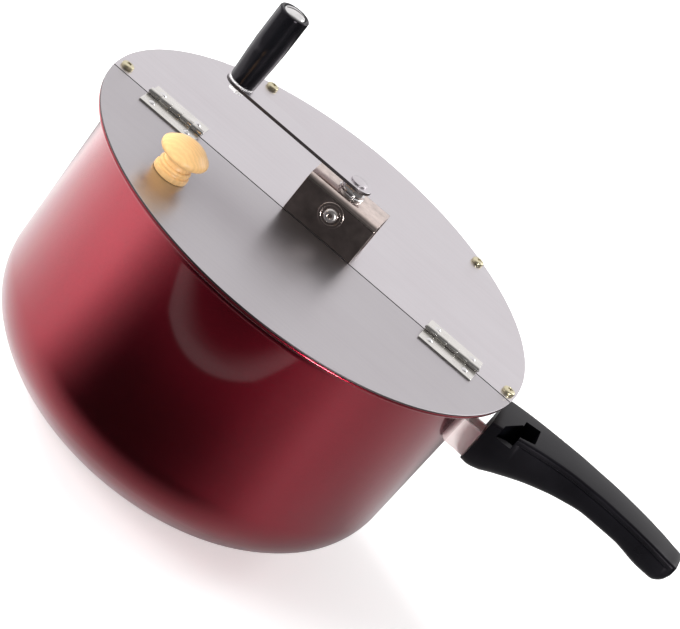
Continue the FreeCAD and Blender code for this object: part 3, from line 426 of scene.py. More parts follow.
def put(tree, shader, **values):
    """Fills the shader's sockets: Coat_Weight=1.0 fills the socket Coat Weight."""
    for key, value in values.items():
        socket = shader.inputs[key.replace("_", " ")]
        if isinstance(value, bpy.types.NodeSocket):
            tree.links.new(value, socket)
        else:
            socket.default_value = value


def edge_faces(obj, limit=0.6):
    """A sheet's faces that don't look up or down get its second material."""
    for face in obj.data.polygons:
        if abs(face.normal.z) < limit:
            face.material_index = 1
    return obj


def shade(colour, factor):
    """The colour made lighter or darker."""
    return tuple(min(1.0, c * factor) for c in colour)


def relief(tree, shader, height, strength, distance):
    """Fine bumps on the surface, distance in metres."""
    bump = node(tree, "Bump", {"Height": height, "Strength": strength, "Distance": distance})
    put(tree, shader, Normal=bump.outputs["Normal"])


def enamel(name, colour):
    """Metallic lacquer: fine flakes in the colour, under a clear coat with a slight ripple."""
    material, tree, shader = blank(name)
    place = node(tree, "TexCoord")
    flakes = node(tree, "TexVoronoi", {"Vector": place.outputs["Object"], "Scale": 2600.0})
    sparkle = node(tree, "SeparateColor", {"Color": flakes.outputs["Color"]}).outputs[0]
    body = tint(tree, spread(tree, sparkle, 0.0, 1.0), shade(colour, 0.93), shade(colour, 1.08))
    cloud = grain(tree, 16.0, detail=3.0)
    relief(tree, shader, grain(tree, 240.0, detail=2.0), 0.02, 0.0002)
    put(tree, shader, Base_Color=body, Roughness=spread(tree, cloud, 0.23, 0.27), Metallic=1.0,
        Coat_Weight=1.0, Coat_Roughness=0.045, Sheen_Weight=0.16, Sheen_Roughness=0.32,
        Sheen_Tint=(1.0, 0.9, 0.97, 1.0))
    return material


def brushed(name, colour, rough=0.3, stretch=(6, 900, 900), streak=0.04, tone=0.03, ridge=0.03,
            metal=1.0):
    """Drawn or rolled metal with fine lines along one direction and faint cloudy wear."""
    material, tree, shader = blank(name)
    lines = grain(tree, 1.0, stretch, detail=5.0, rough=0.6)
    cloud = grain(tree, 24.0, detail=5.0)
    body = tint(tree, spread(tree, lines, 0.0, 1.0), shade(colour, 1 - tone),
                shade(colour, 1 + tone))
    worn = tint(tree, spread(tree, cloud, 0.6, 0.0), body, (0.94, 0.925, 0.93), "MULTIPLY")
    relief(tree, shader, lines, ridge, 0.00005)
    put(tree, shader, Base_Color=worn, Metallic=metal,
        Roughness=spread(tree, lines, rough - streak / 2, rough + streak / 2))
    return material


def plated(name, colour, rough=0.14, smudge=0.06, dark=0.85, patch=160.0):
    """Bright plated metal with handling marks and a darker tarnish in patches."""
    material, tree, shader = blank(name)
    cloud = grain(tree, patch, detail=6.0)
    fine = grain(tree, 420.0, detail=3.0)
    body = tint(tree, spread(tree, cloud, 0.0, 1.0), shade(colour, dark), colour)
    relief(tree, shader, cloud, 0.02, 0.0001)
    put(tree, shader, Base_Color=body, Metallic=1.0,
        Roughness=spread(tree, fine, rough, rough + smudge))
    return material


def moulded(name, colour, rough=0.3, level=0.5, texture=900.0, depth=0.1):
    """Phenolic or thermoplastic moulding: even colour, faint skin texture, light scuffs."""
    material, tree, shader = blank(name)
    cloud = grain(tree, 35.0, detail=5.0)
    fine = grain(tree, texture, detail=3.0)
    body = tint(tree, spread(tree, cloud, 0.0, 1.0), shade(colour, 0.8), shade(colour, 1.35))
    relief(tree, shader, fine, depth, 0.0001)
    put(tree, shader, Base_Color=body, Specular_IOR_Level=level,
        Roughness=spread(tree, cloud, rough - 0.04, rough + 0.06),
        Specular_Tint=(1.0, 0.9, 1.0, 1.0))
    return material


def maple(name, colour):
    """Turned maple, grain along the knob's height, under clear varnish."""
    material, tree, shader = blank(name)
    place = node(tree, "TexCoord")
    mapping = node(tree, "Mapping", {"Vector": place.outputs["Object"], "Scale": (1, 1, 0.12),
                                     "Rotation": (0.12, 0.3, 0.0)})
    rings = node(tree, "TexWave", {
        "Vector": mapping.outputs["Vector"], "Scale": 170.0, "Distortion": 4.5, "Detail": 3.0,
        "Detail Scale": 1.6, "Detail Roughness": 0.6}, wave_type="RINGS",
        rings_direction="X").outputs["Fac"]
    pores = grain(tree, 1.0, (2400, 2400, 160), detail=4.0)
    warm = tint(tree, rings, shade(colour, 1.03), shade(colour, 0.92))
    spots = tint(tree, spread(tree, pores, 0.4, 0.0), warm, (0.86, 0.74, 0.58), "MULTIPLY")
    relief(tree, shader, pores, 0.08, 0.0001)
    put(tree, shader, Base_Color=spots, Roughness=spread(tree, pores, 0.36, 0.46),
        Specular_IOR_Level=0.3, Coat_Weight=0.2, Coat_Roughness=0.3)
    return material


def sheared_edge_painted_shade():
    """Sheared edge of a sheet: duller than its faces, and made dark as painted shade for the gap at
    the split and the shaded rim.
    """
    return brushed("sheared edge painted shade", (0.11, 0.098, 0.10), rough=0.5, stretch=(300, 300, 1200))


def bright_steel():
    """Plated steel of the small hardware."""
    return plated("bright steel", (0.80, 0.785, 0.78), rough=0.14, smudge=0.06, dark=0.88)


def zinc(name, colour):
    """Pale zinc plating: a milky satin, half diffuse."""
    return brushed(name, colour, rough=0.32, stretch=(400, 400, 30), metal=0.15)


# ------------------------------------------------------------------ pot and lid
class POPPER_OT_pot(bpy.types.Operator):
    """Drawn pot with a rolled flange, lacquered outside and bare inside"""
    bl_idname = "popper.pot"
    bl_label = "Pot"

    def execute(self, context):
        sizes = context.scene.popper_pot
        wall = sizes.wall
        top = LID_LOW
        # the flat bottom's radius, the wall's radius low down, and where the wall starts
        flat, low_radius, wall_up = 0.051, 0.114, 0.051
        # two corner arcs that meet on the line through their centres
        big, small = 0.0695, 0.040
        near, far = Vector((flat, big)), Vector((low_radius - small, wall_up))
        lean = math.degrees(math.atan2(far.y - near.y, far.x - near.x))
        # the bend out to the flange, and the bead at the flange's edge
        flare_x, flare_z, bend = 0.123, 0.138, 0.007
        bead_x, bead = 0.1258, 0.001
        slope = [(0.002 * t, wall_up + (flare_z - wall_up) * t) for t in (0.25, 0.5, 0.75)]
        outer = [(0.0, 0.0)] + arc(flat, big, big, -90, lean, 26)
        outer += arc(far.x, far.y, small, lean, 0, 26)[1:]
        outer += [(low_radius + x, z) for x, z in slope]
        outer += arc(flare_x, flare_z, bend, 180, 90, 12)
        outer += arc(bead_x, top - bead, bead, -90, 90, 8)
        inner = arc(flare_x, flare_z, bend + wall, 90, 180, 12)
        inner += [(low_radius - wall + x, z) for x, z in reversed(slope)]
        inner += arc(far.x, far.y, small - wall, 0, lean, 26)
        inner += arc(flat, big, big - wall, lean, -90, 26)[1:] + [(0.0, wall)]
        pot = turned_piece("pot_shell", outer + inner, (0, 0, 0), segments=sizes.segments,
                           closed=False, inner_from=len(outer) - 1)
        inside = brushed("pot inside", (0.62, 0.62, 0.63), rough=0.34, stretch=(40, 40, 700))
        dress(pot, "pot", ["pot_body"], "pot_paint", enamel("burgundy enamel", sizes.paint),
              inside, angle=50)
        return {"FINISHED"}


def lid_outline(side, edge_y):
    """Half disc on one side of the split line."""
    lean = math.degrees(math.asin(edge_y / LID_RADIUS))
    if side > 0:
        return arc(0, 0, LID_RADIUS, lean, 180 - lean, 180)
    return arc(0, 0, LID_RADIUS, 180 - lean, 360 + lean, 180)


def hole(x, y, radius, steps=32):
    """Closed circle, for a hole in a sheet."""
    return arc(x, y, radius, 0, 360, steps)[:-1]


class POPPER_OT_lid(bpy.types.Operator):
    """Flat sheet lid in two halves, the front one hinged"""
    bl_idname = "popper.lid"
    bl_label = "Lid"

    def execute(self, context):
        edge = context.scene.popper_lid.edge
        tone = context.scene.popper_lid.sheet
        metal = brushed("lid sheet", tone, rough=0.3, stretch=(5, 520, 520))
        # the door's sheet is the lid's sheet made darker: painted shade on the front half of the
        # lid
        door_painted_shade_metal = brushed("lid door sheet painted shade", shade(tone, 0.79), rough=0.33,
                             stretch=(5, 520, 520))
        # the sheet's edges are darkened with painted shade
        rim = sheared_edge_painted_shade()
        fixed = plate_piece("lid_fixed_sheet", lid_outline(1, SPLIT_FIXED), LID_LOW, LID_TOP,
                            edge, [hole(UNIT_X, 0, 0.0045)])
        dress(edge_faces(fixed), "pot", ["lid_fixed_half"], "lid_sheet", metal, rim)
        door = plate_piece("lid_door_sheet", lid_outline(-1, SPLIT_DOOR), LID_LOW, LID_TOP, edge,
                           [hole(KNOB_X, KNOB_Y, 0.0016)])
        dress(edge_faces(door), "door", ["lid_door"], "lid_sheet", door_painted_shade_metal, rim)
        return {"FINISHED"}


def screw_spots():
    """Centres of the rim screws, by angle round the lid."""
    return [(r * math.cos(math.radians(a)), r * math.sin(math.radians(a)), a)
            for r, a in ((0.1226, -2.6), (0.1215, 182.6), (0.1215, 54.5), (0.1215, 125.5))]


class POPPER_OT_rim_screws(bpy.types.Operator):
    """Pan head screws through lid and flange, with nuts below"""
    bl_idname = "popper.rim_screws"
    bl_label = "Rim Screws"

    def execute(self, context):
        metal = plated("screw brass", context.scene.popper_lid.brass, rough=0.26, smudge=0.1,
                       dark=0.7)
        heads, nuts = [], []
        recess, corner = 0.003, 0.003175
        for index, (x, y, angle) in enumerate(screw_spots()):
            profile = [(0, -0.0082), (0.0012, -0.0082), (0.0015, -0.0079), (0.0015, 0.0),
                       (0.0032, 0.0)]
            profile += arc(0.0032, 0.0002, 0.0002, -90, 0, 3)[1:]
            profile += arc(0.0023, 0.0009, 0.0011, 0, 78, 8)
            profile += [(0.0016, 0.00215), (0.0008, 0.00226), (0.0, 0.0023)]
            head = turned_piece("screw", profile, (x, y, LID_TOP), segments=48, closed=False)
            turn = math.radians(17 + 31 * index)
            tools = []
            for k in range(2):
                bar = rounded([(-0.0020, -0.00045, 0.0001), (0.0020, -0.00045, 0.0001),
                               (0.0020, 0.00045, 0.0001), (-0.0020, 0.00045, 0.0001)], 2)
                tool = plate_piece("bar", bar, 0.0, recess, 0.0)
                for v in tool.data.vertices:
                    v.co.x *= 0.55 + 0.45 * v.co.z / recess
                tool.data.transform(Matrix.Translation((x, y, LID_TOP + 0.0011))
                                    @ Matrix.Rotation(turn + k * math.pi / 2, 4, "Z"))
                tools.append(tool)
            heads.append(cut_away(head, *tools))
            corners = []
            for k in range(6):
                a = math.radians(angle + 30 + 60 * k)
                corners.append((x + corner * math.cos(a), y + corner * math.sin(a), 0.0001))
            nuts.append(plate_piece("nut", rounded(corners, 2), NUT_LOW, NUT_HIGH, 0.00015,
                                    [hole(x, y, 0.0015, 20)]))
        dress(joined("rim_screw_set", heads), "pot", ["rim_screws"], "screw_brass", metal)
        dress(joined("rim_nut_set", nuts), "pot", ["rim_nuts"], "screw_brass", metal)
        return {"FINISHED"}


# ------------------------------------------------------------------ hinges
def hinge_leaf(name, side, left, mine):
    """One leaf: flat plate, and its share of the knuckles curled round the pin."""
    length, axis_y, up = HINGE_LENGTH, HINGE_Y, HINGE_UP
    thick = 0.0009
    pitch = length / 5
    y0, y1 = axis_y + side * 0.0022, axis_y + side * 0.013
    r = 0.0006
    outline = rounded([(left, y0, 0), (left + length, y0, 0), (left + length, y1, r),
                       (left, y1, r)])
    middle, offset = left + length / 2, side * RIVET_OFFSET
    holes = [hole(middle + s * RIVET_STEP, axis_y + offset, 0.0011, 24) for s in (-1, 1)]
    parts = [plate_piece("leaf", outline, LID_TOP, LID_TOP + thick, 0.00018, holes)]
    outer, bore, root = 0.0018, 0.00092, side * 0.0024
    for i in mine:
        x0 = left + pitch * i + (0 if i == 0 else 0.000075)
        x1 = left + pitch * (i + 1) - (0 if i == 4 else 0.000075)
        ring = [(axis_y + y, up + z) for y, z in arc(0, 0, outer, 0, 360, 48)[:-1]]
        inside = [(axis_y + y, up + z) for y, z in arc(0, 0, bore, 0, 360, 32)[:-1]]
        parts.append(plate_piece("knuckle", ring, x0, x1, 0.0001, [inside], plane="YZ"))
        tongue = rounded([
            (axis_y, LID_TOP + 0.0001, 0), (axis_y + root, LID_TOP, 0),
            (axis_y + root, LID_TOP + thick, 0), (axis_y + side * 0.0016, LID_TOP + thick, 0),
            (axis_y + side * 0.0012, LID_TOP + 0.00075, 0)])
        parts.append(plate_piece("tongue", tongue, x0, x1, 0.0, plane="YZ"))
    return joined(name, parts)


class POPPER_OT_hinges(bpy.types.Operator):
    """Two butt hinges with their pins and rivets"""
    bl_idname = "popper.hinges"
    bl_label = "Hinges"

    def execute(self, context):
        nickel = plated("nickel", (0.80, 0.78, 0.74), rough=0.2, smudge=0.05, dark=0.88)
        steel = bright_steel()
        for label, left in (("left", -HINGE_MIDDLE - HINGE_LENGTH / 2),
                            ("right", HINGE_MIDDLE - HINGE_LENGTH / 2)):
            for kind, side, mine, body in (("fixed", 1, (0, 2, 4), "pot"),
                                           ("door", -1, (1, 3), "door")):
                leaf = hinge_leaf("%s_hinge_%s_plate" % (label, kind), side, left, mine)
                dress(leaf, body, ["%s_hinge_%s_leaf" % (label, kind)], "hinge_steel", nickel)
            pin = turned_piece("%s_hinge_bar" % label, [
                (0, -0.0005), (0.0006, -0.0005), (0.0009, -0.0002), (0.0009, 0.0332),
                (0.0006, 0.0335), (0, 0.0335)], (left, HINGE_Y, HINGE_UP), axis="X",
                segments=24, closed=False)
            dress(pin, "pot", ["%s_hinge_pin" % label], "hinge_steel", steel)
        for name, side, body in (("fixed_leaf_rivets", 1, "pot"), ("door_leaf_rivets", -1, "door")):
            set_of = [rivet(middle + step, HINGE_Y + side * RIVET_OFFSET, 0.0009)
                      for middle in (-HINGE_MIDDLE, HINGE_MIDDLE)
                      for step in (-RIVET_STEP, RIVET_STEP)]
            dress(joined(name + "_set", set_of), body, [name], "rivet_steel", steel)
        return {"FINISHED"}


def rivet(x, y, base):
    """Domed head over a sheet of thickness base, set over below the lid."""
    low = -base - 0.001
    profile = [(0, low - 0.0006), (0.0013, low - 0.0006), (0.0017, low - 0.0003), (0.0018, low),
               (0.0011, low), (0.0011, 0.0), (0.00195, 0.0)]
    half, rise = 0.002, 0.0009
    dome = (half ** 2 + rise ** 2) / (2 * rise)
    top = arc(0, rise - dome, dome, 90 - math.degrees(math.asin(0.99 * half / dome)), 90, 10)
    profile += top[:-1] + [(0, rise)]
    return turned_piece("rivet", profile, (x, y, LID_TOP + base), segments=32, closed=False)


# ------------------------------------------------------------------ knob
class POPPER_OT_knob(bpy.types.Operator):
    """Turned wooden knob on the door, with its screw"""
    bl_idname = "popper.knob"
    bl_label = "Door Knob"

    def execute(self, context):
        cap = (KNOB_HIGH.x - KNOB_LOW.x) / 2
        tall = KNOB_HIGH.z - KNOB_LOW.z
        profile = [(0, 0.0), (0.0086, 0.0)]
        profile += arc(0.0084, 0.0007, 0.0007, -60, 0, 4) + [(0.0091, 0.0023)]
        profile += arc(0.0084, 0.0024, 0.0007, 0, 80, 5)
        profile += [(0.0080, 0.0033), (0.0079, 0.0037)]
        profile += arc(0.0072, 0.0051, 0.0013, -60, 75, 8)
        profile += arc(0.0112, 0.0082, 0.0044, 205, 145, 8)
        profile += [(0.0088, 0.0101), (0.0102, 0.0104)]
        profile += arc(cap - 0.0026, 0.0131, 0.0026, -66, 40, 10)
        profile += [(cap * 0.85, 0.0158), (cap * 0.70, 0.0175), (cap * 0.50, 0.01875),
                    (cap * 0.26, 0.01935), (cap * 0.1, tall - 0.00005), (0, tall)]
        knob = turned_piece("knob_turning", profile, (KNOB_X, KNOB_Y, KNOB_LOW.z), segments=96,
                            closed=False)
        dress(knob, "door", ["door_knob"], "knob_wood",
              maple("knob maple", context.scene.popper_handle.maple), angle=48)
        dress_node("knob_screw", plated("plain screw", (0.55, 0.54, 0.52), rough=0.25))
        return {"FINISHED"}


# ------------------------------------------------------------------ gear housing
def fold_section(front, back, low, top, bend, thick):
    """Inverted U of sheet, seen along X."""
    lip = 0.0002
    return rounded([
        (front, low, lip), (front + thick, low, lip),
        (front + thick, top - thick, bend - thick), (back - thick, top - thick, bend - thick),
        (back - thick, low, lip), (back, low, lip), (back, top, bend), (front, top, bend)], 8)


class POPPER_OT_housing(bpy.types.Operator):
    """Folded housing over the gears, with its ring, axle, bushes and rivets"""
    bl_idname = "popper.housing"
    bl_label = "Gear Housing"

    def execute(self, context):
        sizes = context.scene.popper_crank
        front, back, thick = HOUSING_FRONT, BOX_HIGH.y, 0.001
        metal = plated("housing steel", sizes.housing, rough=0.12, smudge=0.1, dark=0.56,
                       patch=110.0)
        # the front wall's metal is the housing's metal made darker: painted shade on the face
        # turned forward
        front_painted_shade = plated("housing front painted shade", shade(sizes.housing, 0.56), rough=0.12, smudge=0.1,
                      dark=0.6, patch=110.0)
        section = fold_section(front, back, BOX_LOW.z, BOX_HIGH.z, sizes.bend, thick)
        shell = plate_piece("shell", section, BOX_LOW.x, BOX_HIGH.x, 0.00018, plane="YZ")
        feet = []
        foot = 0.008
        for x in (BOX_LOW.x + 0.001, BOX_HIGH.x - 0.001 - foot):
            for y0, y1, spot in ((front + 0.0006, front + 0.008, front + 0.0045),
                                 (back - 0.008, back - 0.0006, back - 0.0045)):
                outline = rounded([(x, y0, 0), (x + foot, y0, 0), (x + foot, y1, 0.001),
                                   (x, y1, 0.001)])
                feet.append(plate_piece("foot", outline, BOX_LOW.z, BOX_LOW.z + thick, 0.00015,
                                        [hole(x + foot / 2, spot, 0.0011, 20)]))
        # raised ring pressed into the front wall round the axle
        ring = [(0.0049, front + 0.0003)] + [
            (0.0058 + 0.0009 * math.cos(math.radians(a)),
             front - 0.0003 * math.sin(math.radians(a))) for a in range(180, -1, -15)
        ] + [(0.0067, front + 0.0003)]
        raised = turned_piece("ring", ring, (UNIT_X, 0, AXLE_UP), axis="Y", segments=72)
        # forward-facing faces of the shell and the raised ring take the painted shade
        for part in (shell, raised):
            for face in part.data.polygons:
                face.material_index = int(face.normal.y < -0.9 and face.center.y < front + 0.0002)
        housing = joined("housing_fold", [shell, raised] + feet)
        dress(housing, "pot", ["gear_housing"], "housing_steel", metal, front_painted_shade)
        axle_metal = plated("axle steel", (0.84, 0.80, 0.77), rough=0.24, smudge=0.08, dark=0.85)
        profile = [(0, front + 0.0022), (0.0013, front + 0.0022), (0.0013, front - 0.0014)]
        profile += arc(0.0017, front - 0.0014, 0.0004, 180, 270, 4)[1:]
        profile += [(0.0024, front - 0.00175), (0.0031, front - 0.00140), (0.0036, front - 0.0008),
                    (0.0037, front - 0.0004), (0.0037, front), (0.002, front), (0.002, back),
                    (0.0032, back), (0.0031, back + 0.0006), (0.0022, back + 0.0012),
                    (0, back + 0.0014)]
        axle = turned_piece("axle_rivet", profile, (UNIT_X, 0, AXLE_UP), axis="Y", segments=64,
                            closed=False)
        dress(axle, "pot", ["idler_axle"], "axle_steel", axle_metal)
        dress_node("idler_axle_collar", axle_metal)
        steel = bright_steel()
        for name in ("housing_bush", "lid_bush"):
            soften(dress_node(name, steel), 0.00015)
        spots = [(x, y) for x in (BOX_LOW.x + 0.005, BOX_HIGH.x - 0.005)
                 for y in (front + 0.0045, back - 0.0045)]
        rivets = [rivet(x, y, thick) for x, y in spots]
        dress(joined("housing_rivet_set", rivets), "pot", ["housing_rivets"], "rivet_steel", steel)
        return {"FINISHED"}


class POPPER_OT_gears(bpy.types.Operator):
    """Bevel gears inside the housing"""
    bl_idname = "popper.gears"
    bl_label = "Gears"

    def execute(self, context):
        metal = brushed("gear steel", (0.45, 0.44, 0.42), rough=0.32, stretch=(300, 300, 300))
        for name in ("crank_gear", "idler_gear", "stirrer_gear"):
            dress_node(name, metal, angle=28)
        return {"FINISHED"}


# ------------------------------------------------------------------ crank
class POPPER_OT_crank(bpy.types.Operator):
    """Flat crank arm with its hub and the hardware at both ends"""
    bl_idname = "popper.crank"
    bl_label = "Crank Arm"

    def execute(self, context):
        half = (ARM_HIGH.y - ARM_LOW.y) / 2
        outline = arc(UNIT_X, 0, half, -90, 90, 28) + arc(GRIP_X, 0, half, 90, 270, 28)
        arm = plate_piece("arm_strip", outline, ARM_LOW.z, ARM_HIGH.z, 0.00025,
                          [hole(UNIT_X, 0, 0.003), hole(GRIP_X, 0, 0.0025)])
        metal = brushed("arm steel", context.scene.popper_lid.sheet, rough=0.3,
                        stretch=(8, 600, 600))
        dress(edge_faces(arm), "crank", ["crank_arm"], "arm_steel", metal, sheared_edge_painted_shade())
        steel = bright_steel()
        for name in ("crank_shaft", "crank_hub_washer", "crank_hub_nut"):
            soften(dress_node(name, steel), 0.00015)
        soften(dress_node("crank_dome_nut", metal), 0.00015)
        pale = zinc("pale zinc", (0.86, 0.85, 0.85))
        for name in ("grip_washer", "grip_nut"):
            soften(dress_node(name, pale), 0.00015)
        return {"FINISHED"}


class POPPER_OT_grip(bpy.types.Operator):
    """Tapered grip with its slotted bolt"""
    bl_idname = "popper.grip"
    bl_label = "Crank Grip"

    def execute(self, context):
        base, high = GRIP_LOW.z - LID_TOP, GRIP_HIGH.z - LID_TOP
        profile = [(0.0026, base), (0.0068, base)]
        profile += arc(0.00675, base + 0.00045, 0.00045, -60, 0, 4)
        profile += [(0.00742, base + 0.004), (0.00772, base + 0.009), (0.00802, base + 0.014),
                    (0.00818, base + 0.0185), (0.00822, base + 0.0205), (0.00836, base + 0.0215),
                    (0.0084, base + 0.026), (0.0084, base + 0.036), (0.00836, base + 0.0425)]
        profile += arc(0.00746, high - 0.0009, 0.0009, 0, 90, 6)
        profile += arc(0.00675, high - 0.0003, 0.0003, 90, 180, 3)
        profile += [(0.00645, high - 0.0018), (0.0026, high - 0.0018)]
        grip = turned_piece("grip_turning", profile, (GRIP_X, 0, LID_TOP), segments=96)
        plastic = moulded("grip plastic", context.scene.popper_crank.plastic, rough=0.12,
                          level=0.28, texture=500.0, depth=0.02)
        dress(grip, "grip", ["crank_grip"], "grip_plastic", plastic, angle=40)
        under = high - 0.0015
        profile = [(0, 0.0254), (0.0021, 0.0254), (0.0025, 0.0258), (0.0025, under),
                   (0.00575, under)]
        profile += arc(0.00575, under + 0.00025, 0.00025, -90, 0, 3)[1:]
        profile += [(0.0060, under + 0.0010), (0.00585, under + 0.0013),
                    (0.0053, under + 0.00175), (0.0042, under + 0.0023), (0.0028, under + 0.00272),
                    (0.0014, under + 0.00294), (0, under + 0.0030)]
        bolt = turned_piece("grip_bolt_turning", profile, (GRIP_X, 0, LID_TOP), segments=64,
                            closed=False)
        slot = plate_piece("slot", rounded([(-0.008, -0.00065, 0), (0.008, -0.00065, 0),
                                            (0.008, 0.00065, 0), (-0.008, 0.00065, 0)]),
                           0.0, 0.004)
        slot.data.transform(Matrix.Translation((GRIP_X, 0, LID_TOP + under + 0.0017))
                            @ Matrix.Rotation(math.radians(20), 4, "Z"))
        dress(cut_away(bolt, slot), "crank", ["grip_bolt_slotted"], "bolt_chrome",
              plated("bolt chrome", (0.82, 0.81, 0.80), rough=0.1, smudge=0.1, dark=0.8))
        return {"FINISHED"}


# ------------------------------------------------------------------ stirrer
class POPPER_OT_stirrer(bpy.types.Operator):
    """Shaft, collar and the two bent wires that stir the corn"""
    bl_idname = "popper.stirrer"
    bl_label = "Stirrer"

    def execute(self, context):
        metal = brushed("stirrer steel", (0.6, 0.6, 0.59), rough=0.26, stretch=(60, 60, 60))
        for name in ("stirrer_shaft", "stirrer_collar"):
            soften(dress_node(name, metal), 0.0002)
        for name in ("stirrer_floor_wire", "stirrer_upper_wire"):
            dress_node(name, metal, angle=40)
        return {"FINISHED"}


# ------------------------------------------------------------------ handle
STATIONS = (
    # from the pot's axis, half width, top, underside, rounding below
    (0.1260, 0.0182, 0.1360, 0.1052, 0.0155), (0.1300, 0.0179, 0.1366, 0.1048, 0.0154),
    (0.1340, 0.0176, 0.1371, 0.1056, 0.0153), (0.1430, 0.0165, 0.1382, 0.1100, 0.0140),
    (0.1590, 0.0141, 0.1398, 0.1171, 0.0114), (0.1760, 0.0125, 0.1407, 0.1226, 0.0086),
    (0.1900, 0.0118, 0.1407, 0.1249, 0.0077), (0.2080, 0.0112, 0.1399, 0.1246, 0.0075),
    (0.2260, 0.0104, 0.1383, 0.1217, 0.0077), (0.2340, 0.0099, 0.1372, 0.1214, 0.0075),
    (0.2384, 0.0095, 0.1367, 0.1244, 0.0064), (0.2404, 0.0085, 0.1362, 0.1288, 0.0044),
)


def handle_section(x, top_edge):
    """Flat top with soft edges, straight sides, round underneath."""
    half, top, low, bend = [smooth_value(STATIONS, c, x) for c in (1, 2, 3, 4)]
    deep = 0.0004 * smooth_value(((0.142, 0.0), (0.146, 1.0), (0.234, 1.0), (0.237, 0.0)), 1, x)
    notch = [(half, top - 0.0040), (half - deep, top - 0.0037), (half - deep, top - 0.0033),
             (half, top - 0.0030)]
    loop = arc(half - bend, low + bend, bend, -90, 0, 14) + notch
    loop += arc(half - top_edge, top - top_edge, top_edge, 0, 90, 6)
    crown = 0.00035
    loop += [((half - top_edge) * t, top + crown * (1 - t * t)) for t in
             (0.8, 0.5, 0.2, -0.2, -0.5, -0.8)]
    loop += arc(top_edge - half, top - top_edge, top_edge, 90, 180, 6)
    loop += [(-y, z) for y, z in reversed(notch)]
    loop += arc(bend - half, low + bend, bend, 180, 270, 14)
    loop += [((half - bend) * t, low) for t in (-0.5, 0.0, 0.5)]
    return [(x, y, z) for y, z in loop]


class POPPER_OT_handle(bpy.types.Operator):
    """Long moulded handle, its bolt and the strap that carries it"""
    bl_idname = "popper.handle"
    bl_label = "Handle"

    def execute(self, context):
        sizes = context.scene.popper_handle
        start, end = STATIONS[0][0], STATIONS[-1][0]
        xs = [start + 0.0002 * i for i in range(3)]
        xs += [start + 0.001 + (0.234 - start) * i / 80 for i in range(81)]
        xs += [0.2358 + i * 0.0005 for i in range(10)] + [end - 0.00012, end]
        sections = []
        for x in sorted(set(min(v, end) for v in xs)):
            section = handle_section(x, sizes.top_edge)
            # the last millimetre rolls in to a soft end
            shrink = 1.0
            if x > end - 0.0012:
                shrink = 1 - 0.07 * ((x - end + 0.0012) / 0.0012) ** 2
            middle = Vector((x, 0, (section[0][2] + section[30][2]) / 2))
            sections.append([tuple(middle + (Vector(p) - middle) * shrink) for p in section])
        handle = lofted_piece("handle_moulding", sections)
        socket = plate_piece("socket", [(-0.00595, 0.1063), (0.00595, 0.1063),
                                        (0.00595, 0.1227), (-0.00595, 0.1227)],
                             0.120, 0.1375, plane="YZ")
        well = plate_piece("well", rounded([(0.1395, -0.008, 0.0006), (0.148, -0.008, 0.0006),
                                            (0.148, 0.005, 0.0006), (0.1395, 0.005, 0.0006)]),
                           0.116, 0.150)
        pocket = plate_piece("pocket", rounded([
            (0.1320, -0.0162, 0), (0.1370, -0.0124, 0.0005), (0.1409, -0.0120, 0),
            (0.1410, -0.0146, 0.0004), (0.1490, -0.0116, 0.0008), (0.1480, 0.0050, 0.0008),
            (0.1395, 0.0042, 0.0004), (0.1395, -0.0012, 0), (0.1388, -0.0012, 0.0004),
            (0.1322, -0.0133, 0.0008)]), 0.124, 0.150)
        shelf = plate_piece("shelf", rounded([
            (0.1319, -0.025, 0), (0.1412, -0.025, 0), (0.1410, -0.0146, 0), (0.1409, -0.0118, 0),
            (0.1370, -0.0122, 0), (0.1320, -0.0160, 0)]), 0.131, 0.150)
        bolt_hole = turned_piece("bolt_way", [(0, 0.130), (0.00175, 0.130), (0.00175, 0.142),
                                              (0, 0.142)], (0, 0, 0.1198), axis="X",
                                 segments=32, closed=False)
        handle = cut_away(handle, socket, well, pocket, shelf, bolt_hole)
        skin = moulded("handle bakelite", sizes.moulding, rough=0.31, level=0.12, texture=1500.0,
                       depth=0.12)
        dress(handle, "pot", ["main_handle"], "handle_bakelite", skin, angle=30)
        strap = zinc("strap zinc", (1.0, 0.94, 0.92))
        soften(dress_node("handle_bracket", strap), 0.0003)
        plain = plated("plain screw", (0.55, 0.54, 0.52), rough=0.25)
        for name in ("handle_bolt", "handle_bolt_nut"):
            dress_node(name, plain)
        return {"FINISHED"}


# ------------------------------------------------------------------ stage
def ramp(tree, value, start, end, low, high):
    """Soft step: low up to start, high from end on."""
    return node(tree, "MapRange", {"Value": value, "From Min": start, "From Max": end,
                                   "To Min": low, "To Max": high},
                interpolation_type="SMOOTHSTEP").outputs["Result"]


def sums(tree, kind, *values):
    """One math node; each value is a number or another node's output."""
    return node(tree, "Math", dict(enumerate(values)), operation=kind).outputs[0]


def studio_world(scene):
    """Even light all round.  Bare metal and lacquer see a white room behind the pot and a dim
    one before it, and the camera sees white."""
    world = bpy.data.worlds.new("studio")
    scene.world = world
    world.use_nodes = True
    tree = world.node_tree
    plain = tree.nodes["Background"]
    plain.inputs["Color"].default_value = (1, 1, 1, 1)
    plain.inputs["Strength"].default_value = 0.3
    way = node(tree, "TexCoord")
    parts = node(tree, "SeparateXYZ", {0: way.outputs["Generated"]})
    lean = sums(tree, "MULTIPLY_ADD", parts.outputs[0], -0.45, parts.outputs[1])
    level = ramp(tree, lean, -0.75, 0.3, 0.13, 1.0)
    ray = node(tree, "LightPath")
    level = sums(tree, "MAXIMUM", level, ray.outputs["Is Camera Ray"])
    room = node(tree, "Background", {"Color": (1, 0.985, 1, 1), "Strength": level})
    seen = sums(tree, "MAXIMUM", ray.outputs["Is Camera Ray"], ray.outputs["Is Glossy Ray"])
    seen = sums(tree, "MAXIMUM", seen, ray.outputs["Is Transmission Ray"])
    pick = node(tree, "MixShader", {0: seen, 1: plain.outputs[0], 2: room.outputs[0]})
    tree.links.new(pick.outputs[0], tree.nodes["World Output"].inputs["Surface"])


